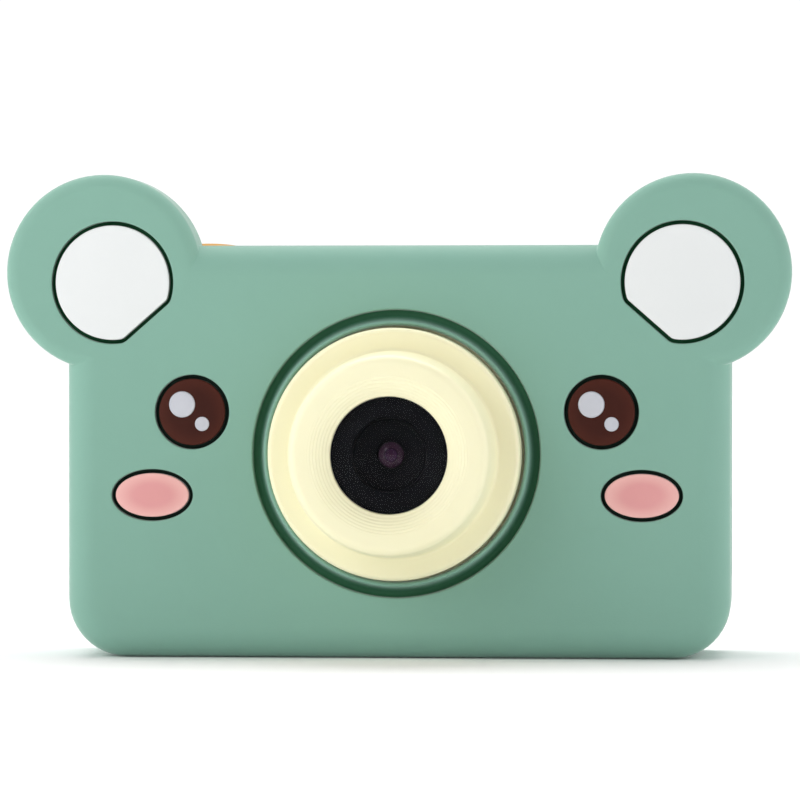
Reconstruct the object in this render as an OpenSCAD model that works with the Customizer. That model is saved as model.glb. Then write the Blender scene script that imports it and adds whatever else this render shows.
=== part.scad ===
// Kids' digital camera: a rigid two-shell camera in a soft animal-face silicone sleeve.
// Millimetres. +Z is up and the lens looks along -Y. The origin is the bottom centre of the whole object.
// Left and right are as seen from the front: left is -X, right is +X.

/* [Sleeve] */
// Width of the sleeve without the ears
body_w = 92.9; // [88:0.1:98]
// Height of the sleeve without the ears
body_h = 57.7; // [57:0.1:60]
// Depth of the sleeve from its face to its rear lip
sleeve_d = 26; // [26:0.1:28]
// Corner radius of the sleeve seen from the front
body_corner = 8.2; // [7:0.1:10]
// Radius of the sleeve's soft front edge
front_round = 4.2; // [2:0.1:4.4]
// Radius of the sleeve's rear edge
back_round = 2.2; // [1:0.1:2.4]
// Thickness of the sleeve's front wall
face_t = 2.4; // [2:0.1:3]
// Thickness of the sleeve's side, top and bottom walls
side_t = 2.2; // [1.8:0.1:2.6]
// Thickness of the rear lip that holds the sleeve on
lip_t = 1.6; // [1.2:0.1:2]
// How far the rear lip reaches in from the outside
lip_reach = 5; // [4:0.1:5.5]

/* [Ears] */
// Radius of an ear
ear_r = 14.3; // [12:0.1:16]
// Height of an ear's centre
ear_z = 53.3; // [50:0.1:56]
// Distance of an ear's centre from the middle
ear_x = 40.6; // [38:0.1:42]
// Thickness of an ear
ear_t = 10.2; // [9:0.1:10.4]
// Edge radius of an ear
ear_round = 3.6; // [2:0.1:4.5]

/* [Face] */
// Radius of a white ear inlay
inlay_r = 8.1; // [6:0.1:9]
// Distance of an ear inlay's centre from the middle
inlay_x = 39.9; // [38:0.1:42]
// Height of an ear inlay's centre
inlay_z = 52.3; // [50:0.1:54]
// Distance of an ear inlay's straight edge from its centre
inlay_cut = 6.8; // [5:0.1:8]
// Slope of that straight edge, in degrees from level
inlay_turn = 41.3; // [35:0.1:50]
// Radius of a brown eye
eye_r = 4.65; // [3:0.05:6]
// Distance of an eye from the middle
eye_x = 28.55; // [27:0.05:32]
// Height of an eye
eye_z = 34.4; // [30:0.1:38]
// Half width of a pink cheek
cheek_a = 5.15; // [3:0.05:6]
// Half height of a pink cheek
cheek_b = 3.06; // [2:0.02:4]
// Distance of a cheek from the middle
cheek_x = 34.15; // [32:0.05:36]
// Height of a cheek
cheek_z = 22.8; // [18:0.1:24]
// Width of the dark groove round each inlay
groove_w = 0.6; // [0.4:0.05:0.8]
// Depth of the inlays and their grooves
inlay_t = 1.5; // [1:0.1:1.6]

/* [Lens] */
// Height of the lens axis
lens_z = 28.6; // [28:0.1:30]
// How far the barrel stands out from the sleeve's face
barrel_reach = 14.2; // [13:0.1:18]
// Radius of the wide collar at the barrel's foot
collar_r = 17.5; // [17:0.1:18]
// How far the collar stands out from the sleeve's face
collar_reach = 4.9; // [4:0.1:7]
// Radius of the barrel's front tier
tier_r = 14.15; // [14:0.05:14.6]
// Radius of the clear window
window_r = 8; // [8:0.1:8.5]

/* [Back] */
// How far the keys stand out past the rear lip
key_proud = 0.8; // [0.4:0.1:1.2]
// Travel of every key and button
key_travel = 0.5; // [0.3:0.1:0.5]
// Width of the screen's clear window
screen_w = 46; // [42:0.5:46]
// Height of the screen's clear window
screen_h = 36.4; // [32:0.2:36.4]

/* [Hidden] */
$fn = 96;
gap = 0.05;                 // clearance between parts that only touch
eps = 0.01;

// Depth positions, front to back
depth = barrel_reach + sleeve_d + key_proud;
y_tip = -depth / 2;                      // barrel's front rim
y_face = y_tip + barrel_reach;           // sleeve's face
y_collar = y_face - collar_reach;        // collar's front
y_window = y_tip + 1.6;                  // window's front, at the bottom of the dish
y_shell = y_face + face_t;               // shell's front
y_back = y_face + sleeve_d;              // sleeve's rear
y_rear = y_back - lip_t;                 // shell's rear
y_key = y_back + key_proud;              // keys' tops
wall = 2;                                // shell wall
y_in = y_shell + wall;                   // inside of the front wall
y_wall = y_rear - wall;                  // inside of the rear wall
y_part = y_shell + 6.9;                  // parting plane of the two shells
y_board = y_wall - 4.5;                  // main board's rear side
board_t = 1.2;

// Shell outline
body_mid = body_h / 2;
shell_w = body_w - 2 * side_t;
shell_h = body_h - 2 * side_t;
shell_corner = body_corner - side_t;
z_low = side_t + wall;                   // floor inside the shell
z_high = body_h - side_t - wall;         // ceiling inside the shell
x_side = shell_w / 2;                    // outside of the shell's side wall

// Places on the back: [x, z]
screen_at = [14.5, body_mid];
pad_at = [-26, 24.5];
pad_r = 8;                               // from the pad's middle to each arrow's switch
menu_at = [-32, 40.6];
play_at = [-20, 40.6];
light_at = [-12, 33];
mic_at = [-12, 24.5];
speaker_at = [-20, 8.3];
strap_at = [-38.6, 11.6];
strap_r = 1.5;
case_screw_at = [[37.8, 49.8], [37.8, 7.6], [-37.8, 49.8], [-31, 7.6]];
board_screw_at = [[-2, 49.6], [24, 49.6], [-10, 7.6], [22, 7.6]];

// Keys on the back
arrow_in = 5.6;
arrow_out = 10.4;
arrow_half = 36;                         // half angle of an arrow key
ok_r = 3.9;
round_key_r = 3;
flange_t = 0.8;
flange_out = 0.7;                        // how far a flange reaches past its cap
y_flange = y_wall - 0.2 - flange_t;
plunger_r = 0.98;
plunger_len = 1.3;
switch_t = 1.9;
y_switch = y_board + switch_t;
y_plunger = y_switch + 0.7;              // plunger's tip, where the stem rests

// Buttons on the top: [x, y]
shutter_at = [-28, y_face + 16.5];
shutter_r = 4.9;
shutter_top = body_h + 0.6;
power_at = [-14, y_face + 16.5];
power_r = 2.3;
power_top = body_h - 0.2;
z_top_board = 46.8;                      // upper side of the small switch board
z_switch = z_top_board + switch_t;
z_plunger = z_switch + 0.7;

// Ports on the right side: heights, and the depth of their middle
usb_z = 18;
card_z = 36;
y_port = y_board - board_t - 1.6;
cover_z0 = 13.1;
cover_z1 = 43;
hinge_x = x_side + 0.8;
hinge_y = y_port + 3.7;
knuckle_r = 0.9;
peg_r = 0.6;
cover_w = 6.9;
cover_t = 1.4;

// Barrel screws
barrel_screw_r = 14.3;
barrel_screw_angles = [90, 210, 330];

// ---------------------------------------------------------------- shared shapes

module rounded(w, h, r) {
    square([w - 2 * r, h], center = true);
    square([w, h - 2 * r], center = true);
    for (sx = [-1, 1], sy = [-1, 1])
        translate([sx * (w / 2 - r), sy * (h / 2 - r)]) circle(r);
}

// A plate that faces the front: w along X, h along Z, from y0 to y1
module plate(w, h, r, y0, y1, x = 0, z = 0) {
    translate([x, y1, z]) rotate([90, 0, 0]) linear_extrude(y1 - y0) rounded(w, h, r);
}

// A round bar along Y
module bar(r, y0, y1, x = 0, z = 0) {
    translate([x, y1, z]) rotate([90, 0, 0]) cylinder(r = r, h = y1 - y0);
}

// A slot along X: h along Z, w along Y
module side_plate(h, w, r, x0, x1, y, z) {
    translate([x0, y, z]) rotate([0, 90, 0]) linear_extrude(x1 - x0) rounded(h, w, r);
}

module block(x0, x1, y0, y1, z0, z1) {
    translate([x0, y0, z0]) cube([x1 - x0, y1 - y0, z1 - z0]);
}

// A turned piece round the lens axis, from points [radius, distance in front of y = 0]
module turned(points) {
    translate([0, 0, lens_z]) rotate([90, 0, 0]) rotate_extrude() polygon(points);
}

function arc(cx, cy, r, a0, a1, n = 6) =
    [for (i = [0:n]) let (a = a0 + (a1 - a0) * i / n) [cx + r * cos(a), cy + r * sin(a)]];

// ---------------------------------------------------------------- sleeve and its inlays

// Rounded block of the sleeve: thin slices that shrink along a quarter circle at both ends
module sleeve_block() {
    slice = 0.02;
    hull() {
        for (a = [0:15:90]) {
            inset = front_round * (1 - cos(a));
            y = y_face + front_round * (1 - sin(a));
            plate(body_w - 2 * inset, body_h - 2 * inset, body_corner - inset, y, y + slice,
                  z = body_mid, $fn = 32);
        }
        for (a = [0:22.5:90]) {
            inset = back_round * (1 - cos(a));
            y = y_back - back_round * (1 - sin(a));
            plate(body_w - 2 * inset, body_h - 2 * inset, body_corner - inset, y - slice, y,
                  z = body_mid, $fn = 32);
        }
    }
}

module ear(side) {
    flat_r = ear_r - ear_round;
    translate([side * ear_x, y_face + ear_t, ear_z]) rotate([90, 0, 0]) rotate_extrude() {
        square([flat_r, ear_t]);
        translate([0, ear_round]) square([ear_r, ear_t - 2 * ear_round]);
        for (h = [ear_round, ear_t - ear_round]) translate([flat_r, h]) circle(ear_round);
    }
}

// Outline of an ear inlay: a circle with its lower inner side cut off straight
module inlay_shape(side, grow) {
    intersection() {
        circle(inlay_r + grow);
        rotate(side > 0 ? 90 - inlay_turn : 90 + inlay_turn)
            translate([-inlay_cut - grow, -20]) square([inlay_cut + grow + 20, 40]);
    }
}

module ellipse_shape(a, b) {
    polygon([for (t = [0:7.5:359]) [a * cos(t), b * sin(t)]]);
}

module face_cut(x, z, deep) {
    translate([x, y_face + deep, z]) rotate([90, 0, 0]) linear_extrude(deep + 1) children();
}

module face_inlay(x, z) {
    translate([x, y_face + inlay_t, z]) rotate([90, 0, 0]) linear_extrude(inlay_t) children();
}

module silicone_sleeve() {
    lip_w = body_w - 2 * lip_reach;
    lip_h = body_h - 2 * lip_reach;
    moat_out = 20.1;
    moat_in = 19;
    color("#89b3a2") difference() {
        union() {
            sleeve_block();
            for (side = [-1, 1]) ear(side);
        }
        plate(shell_w + 2 * gap, shell_h + 2 * gap, shell_corner, y_shell, y_rear + gap, z = body_mid);
        plate(lip_w, lip_h, 6, y_rear - 1, y_back + 1, z = body_mid);
        bar(collar_r + 0.3, y_face - 1, y_shell + 1, z = lens_z);
        difference() {
            bar(moat_out, y_face - 1, y_face + 1.3, z = lens_z);
            bar(moat_in, y_face - 2, y_face + 2, z = lens_z);
        }
        for (side = [-1, 1]) {
            face_cut(side * inlay_x, inlay_z, inlay_t) inlay_shape(side, groove_w);
            face_cut(side * eye_x, eye_z, inlay_t) circle(eye_r + groove_w);
            face_cut(side * cheek_x, cheek_z, inlay_t)
                ellipse_shape(cheek_a + groove_w, cheek_b + groove_w);
        }
        translate([shutter_at[0], shutter_at[1], z_high]) cylinder(r = shutter_r + 0.4, h = 10);
        translate([power_at[0], power_at[1], z_high]) cylinder(r = power_r + 0.4, h = 10);
        side_plate(cover_z1 - cover_z0 + 4.4, 9.8, 1.5, x_side - 1, x_side + 4,
                   hinge_y - 3, (cover_z0 + cover_z1) / 2);
        side_plate(5.6, 5, 1, -x_side - 4, -x_side + 1, y_wall - 2.7, strap_at[1]);
    }
}

module ear_inlay(side) {
    color("#eceeed") face_inlay(side * inlay_x, inlay_z) inlay_shape(side, 0);
}

// Centres and radii of the two light spots in an eye: [x, z, r]
spots = [[-1.4, 1.05, 1.85], [1.4, -1.67, 1.02]];
spot_t = 0.8;

module eye(side) {
    color("#4f241c") difference() {
        face_inlay(side * eye_x, eye_z) circle(eye_r);
        for (s = spots)
            bar(s[2] + gap, y_face - 1, y_face + spot_t, side * eye_x + s[0], eye_z + s[1]);
    }
}

module eye_highlights() {
    color("#d3d4dc") for (side = [-1, 1], s = spots)
        bar(s[2], y_face, y_face + spot_t, side * eye_x + s[0], eye_z + s[1]);
}

module cheek(side) {
    color("#e8a5a5") face_inlay(side * cheek_x, cheek_z) ellipse_shape(cheek_a, cheek_b);
}

// ---------------------------------------------------------------- rigid case

module case_boss(y0, y1) {
    for (p = case_screw_at) bar(2.5, y0, y1, p[0], p[1]);
}

y_boss = y_part + 3;                     // where the front and rear screw bosses meet
tongue_len = 1.2;

module front_shell() {
    color("#f4efcf") difference() {
        union() {
            difference() {
                plate(shell_w, shell_h, shell_corner, y_shell, y_part, z = body_mid);
                plate(shell_w - 2 * wall, shell_h - 2 * wall, shell_corner - wall,
                      y_in, y_part + 1, z = body_mid);
            }
            difference() {
                plate(shell_w - 2.1, shell_h - 2.1, shell_corner - 1.05,
                      y_part - eps, y_part + tongue_len, z = body_mid);
                plate(shell_w - 2 * wall, shell_h - 2 * wall, shell_corner - wall,
                      y_part - 1, y_part + 2, z = body_mid);
            }
            case_boss(y_in - eps, y_boss - gap);
        }
        for (p = case_screw_at) bar(1, y_in + 1.5, y_boss + 1, p[0], p[1]);
        for (a = barrel_screw_angles)
            bar(0.9, y_shell - 1, y_in + 1, barrel_screw_r * cos(a), lens_z + barrel_screw_r * sin(a));
        plate(8, 4, 1, y_shell - 1, y_in + 1, z = lens_z);
    }
}

module arrow_shape(turn, grow) {
    rotate(turn) intersection() {
        difference() {
            circle(arrow_out + grow);
            circle(arrow_in - grow);
        }
        half = arrow_half + grow * 6;
        polygon([[0, 0], 20 * [cos(half), sin(half)], 20 * [1, 0], 20 * [cos(half), -sin(half)]]);
    }
}

module pad_cut(turn, grow) {
    translate([pad_at[0], y_rear + 1, pad_at[1]]) rotate([90, 0, 0])
        linear_extrude(wall + 2) arrow_shape(turn, grow);
}

// Walled box in the corner that the strap cord passes through
module strap_box() {
    block(-x_side + 0.5, strap_at[0] + 3.8, y_wall - 6.7, y_wall + 0.5, strap_at[1] - 4.2, strap_at[1] + 4.2);
}

module strap_hollow() {
    block(-x_side - 1, strap_at[0] + 2.6, y_wall - 5.5, y_wall, strap_at[1] - 3, strap_at[1] + 3);
}

module rear_shell() {
    lug_y = [hinge_y - 1.1, hinge_y + 1.1];
    lug_len = 1.25;
    color("#f4efcf") difference() {
        union() {
            difference() {
                plate(shell_w, shell_h, shell_corner, y_part, y_rear, z = body_mid);
                plate(shell_w - 2 * wall, shell_h - 2 * wall, shell_corner - wall,
                      y_part - 1, y_wall, z = body_mid);
                plate(shell_w - 2, shell_h - 2, shell_corner - 1,
                      y_part - 1, y_part + tongue_len + 0.2, z = body_mid);
            }
            intersection() {
                plate(shell_w, shell_h, shell_corner, y_part, y_rear, z = body_mid);
                strap_box();
            }
            case_boss(y_boss, y_wall + eps);
            for (p = board_screw_at) bar(1.9, y_board + gap, y_wall + eps, p[0], p[1]);
            for (x = [-33, -10]) block(x, x + 1, y_board + 0.3, y_wall + eps, 44.7, 45.55);
            for (z = [cover_z0 - 0.15 - lug_len, cover_z1 + 0.15])
                block(x_side - 0.5, hinge_x + 1, lug_y[0], lug_y[1], z, z + lug_len);
        }
        for (p = case_screw_at) {
            bar(1.05, y_boss - 1, y_rear + 1, p[0], p[1]);
            bar(2.1, y_rear - 1.5, y_rear + 1, p[0], p[1]);
        }
        for (p = board_screw_at) bar(0.85, y_board - 1, y_wall - 1, p[0], p[1]);
        plate(screen_w + 0.3, screen_h + 0.3, 2.1, y_rear - 1, y_rear + 1, screen_at[0], screen_at[1]);
        plate(screen_w - 4.4, screen_h - 5, 1, y_wall - 1, y_rear, screen_at[0], screen_at[1]);
        for (turn = [0:90:270]) pad_cut(turn, 0.15);
        bar(ok_r + 0.15, y_wall - 1, y_rear + 1, pad_at[0], pad_at[1]);
        for (p = [menu_at, play_at]) bar(round_key_r + 0.15, y_wall - 1, y_rear + 1, p[0], p[1]);
        bar(0.85, y_wall - 1, y_rear + 1, light_at[0], light_at[1]);
        bar(0.5, y_wall - 1, y_rear + 1, mic_at[0], mic_at[1]);
        for (i = [-2:2])
            bar(0.6, y_wall - 1, y_rear + 1, speaker_at[0] + i * 2.2, speaker_at[1]);
        bar(strap_r, y_wall - 1, y_rear + 1, strap_at[0], strap_at[1]);
        strap_hollow();
        translate([shutter_at[0], shutter_at[1], z_high - 1]) cylinder(r = shutter_r + 0.1, h = 5);
        translate([power_at[0], power_at[1], z_high - 1]) cylinder(r = power_r + 0.1, h = 5);
        block(x_side - 1.25, x_side + 1, y_port - 2.7, y_port + 2.5, 13.2, 42.4);
        side_plate(9.6, 3.8, 1.8, x_side - 3, x_side + 1, y_port, usb_z);
        block(x_side - 3, x_side + 1, y_port + 0.2, y_port + 1.75, card_z - 5.9, card_z + 5.9);
        translate([hinge_x, hinge_y, cover_z0 - 0.15]) cylinder(r = 1.1, h = cover_z1 - cover_z0 + 0.3);
        translate([hinge_x, hinge_y, cover_z0 - 3]) cylinder(r = peg_r + 0.06, h = cover_z1 - cover_z0 + 6);
    }
}

module case_screws() {
    color("#9a9ca0") for (p = case_screw_at) difference() {
        union() {
            bar(1.9, y_rear - 1.5, y_rear - 0.2, p[0], p[1]);
            bar(0.96, y_in + 2, y_rear - 1.5 + eps, p[0], p[1]);
        }
        plate(2.2, 0.5, 0.1, y_rear - 0.8, y_rear, p[0], p[1]);
        plate(0.5, 2.2, 0.1, y_rear - 0.8, y_rear, p[0], p[1]);
    }
}

// ---------------------------------------------------------------- lens

module lens_barrel() {
    c = -y_collar;
    f = -y_tip;
    w = -y_window;
    base = -y_shell;
    edge = 0.8;
    rim = 1.2;
    color("#f6f1cd") difference() {
        union() {
            turned(concat(
                [[collar_r, base]],
                arc(collar_r - edge, c - edge, edge, 0, 90),
                [[tier_r, c]],
                arc(tier_r - 0.45 - rim, f - rim, rim, 0, 90),
                [[11, f], [window_r + 0.1, w], [window_r + 0.1, w - 6.9], [9.4, w - 6.9],
                 [9.4, w - 1.4], [12.1, w - 0.4], [12.5, c - 1.6], [15.9, c - 1.6], [15.9, base]]));
            for (a = barrel_screw_angles)
                bar(2.1, y_collar + 1.5, y_shell,
                    barrel_screw_r * cos(a), lens_z + barrel_screw_r * sin(a));
        }
        for (a = barrel_screw_angles)
            bar(0.82, y_collar + 2.2, y_shell + 1,
                barrel_screw_r * cos(a), lens_z + barrel_screw_r * sin(a));
    }
}

module barrel_screws() {
    color("#9a9ca0") for (a = barrel_screw_angles) {
        x = barrel_screw_r * cos(a);
        z = lens_z + barrel_screw_r * sin(a);
        bar(0.78, y_collar + 2.6, y_in + eps, x, z);
        bar(1.6, y_in, y_in + 1.1, x, z);
    }
}

window_t = 0.8;
y_bezel = y_window + window_t;

module lens_window() {
    color([0.85, 0.9, 0.95, 0.4]) bar(window_r, y_window, y_bezel, z = lens_z);
}

module lens_bezel() {
    f = -y_bezel;
    color("#17181a") turned([
        [window_r, f], [5.1, f], [3, f - 3.5], [1.82, f - 3.5], [1.82, f - 4.5],
        [4.4, f - 4.5], [4.4, f - 5.5], [window_r, f - 5.5]]);
}

element_r = 1.75;
y_element = y_bezel + 3.1;

module lens_element() {
    dome = 3.2;
    color("#5a3a60") intersection() {
        bar(element_r, y_element, y_element + 2, z = lens_z);
        translate([0, y_element + dome, lens_z]) sphere(dome);
    }
}

y_tube = y_bezel + 4.6;
y_housing = y_shell - 4.1;
y_sensor_board = y_shell - 1;

module lens_tube() {
    color("#202124") difference() {
        bar(3.4, y_tube, y_housing, z = lens_z);
        bar(1.3, y_tube - 1, y_housing + 1, z = lens_z);
        bar(element_r + gap, y_tube - 1, y_element + 2 + eps, z = lens_z);
    }
}

module sensor_housing() {
    color("#26272b") difference() {
        plate(9, 9, 0.6, y_housing, y_sensor_board, z = lens_z);
        plate(7, 7, 0.3, y_housing + 0.9, y_sensor_board + 1, z = lens_z);
        bar(1.3, y_housing - 1, y_sensor_board, z = lens_z);
    }
}

module image_sensor() {
    color("#3b4a5a") plate(5.5, 5.5, 0.2, y_sensor_board - 0.8, y_sensor_board, z = lens_z);
}

module sensor_board() {
    color("#1f5c3c") plate(13, 13, 1, y_sensor_board, y_shell, z = lens_z);
}

flex_t = 0.3;
y_flex = y_in + 2.8;
z_flex = 44;
y_board_front = y_board - board_t;

module camera_flex() {
    color("#c8812e") {
        block(-3, 3, y_shell, y_flex + flex_t, lens_z - flex_t / 2, lens_z + flex_t / 2);
        block(-3, 3, y_flex, y_flex + flex_t, lens_z - flex_t / 2, z_flex);
        block(-3, 3, y_flex, y_board_front - 1.2 + eps, z_flex - flex_t, z_flex);
        block(-3.6, 3.6, y_board_front - 1.2, y_board_front, z_flex - 1, z_flex + 2);
    }
}

// ---------------------------------------------------------------- boards

module main_board() {
    color("#1f5c3c") difference() {
        block(-37.5, 39.6, y_board_front, y_board, 6, 51.6);
        block(-40, -6, y_board_front - 1, y_board + 1, 45.2, 60);
        block(-40, strap_at[0] + 4.2, y_board_front - 1, y_board + 1, 0, strap_at[1] + 4.9);
        for (p = case_screw_at) bar(2.8, y_board_front - 1, y_board + 1, p[0], p[1]);
        for (p = board_screw_at) bar(0.85, y_board_front - 1, y_board + 1, p[0], p[1]);
    }
}

// Chips on the board's rear side: [x, z, width, height, thickness]
chips = [[12, 30, 9, 9, 1], [23, 32, 8, 6, 1], [3, 22, 4, 4, 0.9], [14, 18, 3.2, 2.5, 0.8],
         [light_at[0], light_at[1], 1.6, 1.2, 1.2]];

module board_chips() {
    color("#1b1c1f") for (c = chips) plate(c[2], c[3], 0.2, y_board, y_board + c[4], c[0], c[1]);
}

module board_screws() {
    color("#9a9ca0") for (p = board_screw_at) {
        bar(1.5, y_board_front - 1.1, y_board_front, p[0], p[1]);
        bar(0.8, y_board_front - eps, y_wall - 1.5, p[0], p[1]);
    }
}

module top_board() {
    color("#1f5c3c") block(-34.5, -8.5, y_face + 10.8, y_wall - 1.2, z_top_board - board_t, z_top_board);
}

rear_keys = [
    [pad_at[0], pad_at[1] + pad_r], [pad_at[0], pad_at[1] - pad_r],
    [pad_at[0] - pad_r, pad_at[1]], [pad_at[0] + pad_r, pad_at[1]],
    pad_at, menu_at, play_at];

module tact_switches() {
    s = 4.5;
    color("#2a2b2e") {
        for (p = rear_keys) difference() {
            plate(s, s, 0.4, y_board, y_switch, p[0], p[1]);
            bar(plunger_r + 0.07, y_switch - 1.3, y_switch + 1, p[0], p[1]);
        }
        for (p = [shutter_at, power_at]) difference() {
            translate([p[0] - s / 2, p[1] - s / 2, z_top_board]) cube([s, s, switch_t]);
            translate([p[0], p[1], z_switch - 1.3]) cylinder(r = plunger_r + 0.07, h = 3);
        }
    }
}

module rear_plunger(p) {
    color("#e8e4d8") bar(plunger_r, y_plunger - plunger_len, y_plunger, p[0], p[1]);
}

module top_plunger(p) {
    color("#e8e4d8") translate([p[0], p[1], z_plunger - plunger_len])
        cylinder(r = plunger_r, h = plunger_len);
}

// ---------------------------------------------------------------- screen

module display_panel() {
    color("#101216") plate(44.6, 35.4, 0.6, y_wall - 1.5, y_wall - gap, screen_at[0], screen_at[1]);
}

module display_frame() {
    color("#b8babd") plate(44.6, 35.4, 0.6, y_wall - 2.45, y_wall - 1.5, screen_at[0], screen_at[1]);
}

module display_flex() {
    z_edge = screen_at[1] - 17.7;
    color("#c8812e") {
        block(8, 20, y_wall - 2.1, y_wall - 1.8, z_edge - 1.2, z_edge);
        block(8, 20, y_board, y_wall - 1.8, z_edge - 1.5, z_edge - 1.2);
        block(8, 20, y_board, y_board + flex_t, z_edge - 1.5, z_edge + 3);
    }
}

module screen_window() {
    color([0.1, 0.11, 0.13, 0.6])
        plate(screen_w, screen_h, 2, y_rear - 1, y_rear, screen_at[0], screen_at[1]);
}

// ---------------------------------------------------------------- power, sound and ports

battery_x = [-29, 19];
battery_z = [12, 42];
y_battery = y_board_front - 0.5;

module battery() {
    color("#b9bcc0")
        plate(battery_x[1] - battery_x[0], battery_z[1] - battery_z[0], 1.5, y_battery - 5.5, y_battery,
              (battery_x[0] + battery_x[1]) / 2, (battery_z[0] + battery_z[1]) / 2);
}

module battery_foam() {
    color("#3c3c3c") block(-22, 12, y_battery, y_board_front, 17, 37);
}

module lead(x) {
    r = 0.55;
    y = y_battery - 2.75;
    z = battery_z[1] + 1.6;
    translate([x, y, battery_z[1]]) cylinder(r = r, h = z - battery_z[1]);
    translate([x, y, z]) sphere(r);
    translate([x, y_board_front, z]) rotate([90, 0, 0]) cylinder(r = r, h = y_board_front - y);
}

module battery_leads() {
    color("#b02a2a") lead(-16);
    color("#222222") lead(-13.6);
}

module speaker() {
    color("#2a2b2e")
        plate(14, 7.4, 1, y_wall - 3, y_wall - gap, speaker_at[0], speaker_at[1] - 0.2);
}

module microphone() {
    color("#c9b37a") bar(2, y_board, y_board + 1.5, mic_at[0], mic_at[1]);
}

module status_light() {
    color([1, 0.95, 0.8, 0.6]) bar(0.8, y_board + 1.6, y_rear, light_at[0], light_at[1]);
}

x_port = x_side - 2.25;                  // mouths of the sockets

module usb_socket() {
    color("#b4b6b9") difference() {
        side_plate(8.94, 3.2, 1.5, x_port - 7.4, x_port, y_port, usb_z);
        side_plate(8.34, 2.56, 1.2, x_port - 6.4, x_port + 1, y_port, usb_z);
    }
}

module usb_tongue() {
    color("#17181a") block(x_port - 6.4, x_port - 1, y_port - 0.35, y_port + 0.35, usb_z - 3.35, usb_z + 3.35);
}

card_len = 15;
card_y0 = y_port + 0.45;
card_out = x_port + 0.6;                 // outer edge of the card when it is latched

module card_socket() {
    color("#b4b6b9") difference() {
        block(x_port - 15.8, x_port, card_y0 - 0.35, y_board_front, card_z - 6.9, card_z + 6.9);
        block(x_port - 15.1, x_port + 1, card_y0 - gap, card_y0 + 1.05, card_z - 5.6, card_z + 5.6);
    }
}

module memory_card() {
    x0 = card_out - card_len;
    color("#1d1e22") translate([0, card_y0 + 1, 0]) rotate([90, 0, 0]) linear_extrude(1) polygon([
        [x0, card_z - 5.5], [card_out, card_z - 5.5], [card_out, card_z + 5.5],
        [x0 + 7, card_z + 5.5], [x0 + 5.5, card_z + 4.2], [x0, card_z + 4.2]]);
}

module port_cover() {
    x0 = hinge_x - cover_t / 2;
    x1 = hinge_x + cover_t / 2;
    color("#89b3a2") {
        block(x0, x1, hinge_y - cover_w, hinge_y, cover_z0, cover_z1);
        block(x1 - 0.6, x1, hinge_y - cover_w - 0.5, hinge_y - cover_w + eps, 24, 31);
        translate([hinge_x, hinge_y, cover_z0]) cylinder(r = knuckle_r, h = cover_z1 - cover_z0);
        translate([hinge_x, hinge_y, cover_z0 - 1.1]) cylinder(r = peg_r, h = cover_z1 - cover_z0 + 2.2);
    }
}

// ---------------------------------------------------------------- buttons and keys

module top_button(p, r, top, dome) {
    translate([p[0], p[1], 0]) {
        translate([0, 0, z_plunger]) cylinder(r = 1.5, h = z_high - 1 - z_plunger);
        translate([0, 0, z_high - 1.1]) cylinder(r = r + flange_out, h = 0.9);
        intersection() {
            translate([0, 0, z_high - 1]) cylinder(r = r, h = top - z_high + 1);
            translate([0, 0, top - dome]) sphere(dome);
        }
    }
}

module round_key(p, r) {
    bar(1.4, y_plunger, y_flange + eps, p[0], p[1]);
    bar(r + flange_out, y_flange, y_flange + flange_t, p[0], p[1]);
    bar(r, y_flange, y_key, p[0], p[1]);
}

module arrow_key(turn) {
    color("#fbf8ea") {
        bar(1.4, y_plunger, y_flange + eps, pad_at[0] + pad_r * cos(turn), pad_at[1] + pad_r * sin(turn));
        translate([pad_at[0], y_flange + flange_t, pad_at[1]]) rotate([90, 0, 0])
            linear_extrude(flange_t) arrow_shape(turn, 0.6);
        translate([pad_at[0], y_key, pad_at[1]]) rotate([90, 0, 0])
            linear_extrude(y_key - y_flange) arrow_shape(turn, 0);
    }
}

silicone_sleeve();
ear_inlay(-1);  // ear_inlay_left
ear_inlay(1);  // ear_inlay_right
eye(-1);  // eye_left
eye(1);  // eye_right
eye_highlights();
cheek(-1);  // cheek_left
cheek(1);  // cheek_right
front_shell();
rear_shell();
case_screws();
lens_barrel();
barrel_screws();
lens_window();
lens_bezel();
lens_element();
lens_tube();
sensor_housing();
image_sensor();
sensor_board();
camera_flex();
main_board();
board_chips();
board_screws();
top_board();
tact_switches();
display_panel();
display_frame();
display_flex();
screen_window();
battery();
battery_foam();
battery_leads();
speaker();
microphone();
status_light();
usb_socket();
usb_tongue();
card_socket();
memory_card();
port_cover();
color("#f0b45a") top_button(shutter_at, shutter_r, shutter_top, 12);  // shutter_button
color("#fbf8ea") top_button(power_at, power_r, power_top, 8);  // power_button
arrow_key(90);  // up_key
arrow_key(270);  // down_key
arrow_key(180);  // left_key
arrow_key(0);  // right_key
color("#f0b45a") round_key(pad_at, ok_r);  // ok_key
color("#fbf8ea") round_key(menu_at, round_key_r);  // menu_key
color("#fbf8ea") round_key(play_at, round_key_r);  // play_key
top_plunger(shutter_at);  // shutter_plunger
top_plunger(power_at);  // power_plunger
rear_plunger(rear_keys[0]);  // up_plunger
rear_plunger(rear_keys[1]);  // down_plunger
rear_plunger(rear_keys[2]);  // left_plunger
rear_plunger(rear_keys[3]);  // right_plunger
rear_plunger(rear_keys[4]);  // ok_plunger
rear_plunger(rear_keys[5]);  // menu_plunger
rear_plunger(rear_keys[6]);  // play_plunger
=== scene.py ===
import math

import bmesh
import bpy
import numpy as np
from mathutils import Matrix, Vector
from mathutils.geometry import delaunay_2d_cdt


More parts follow.
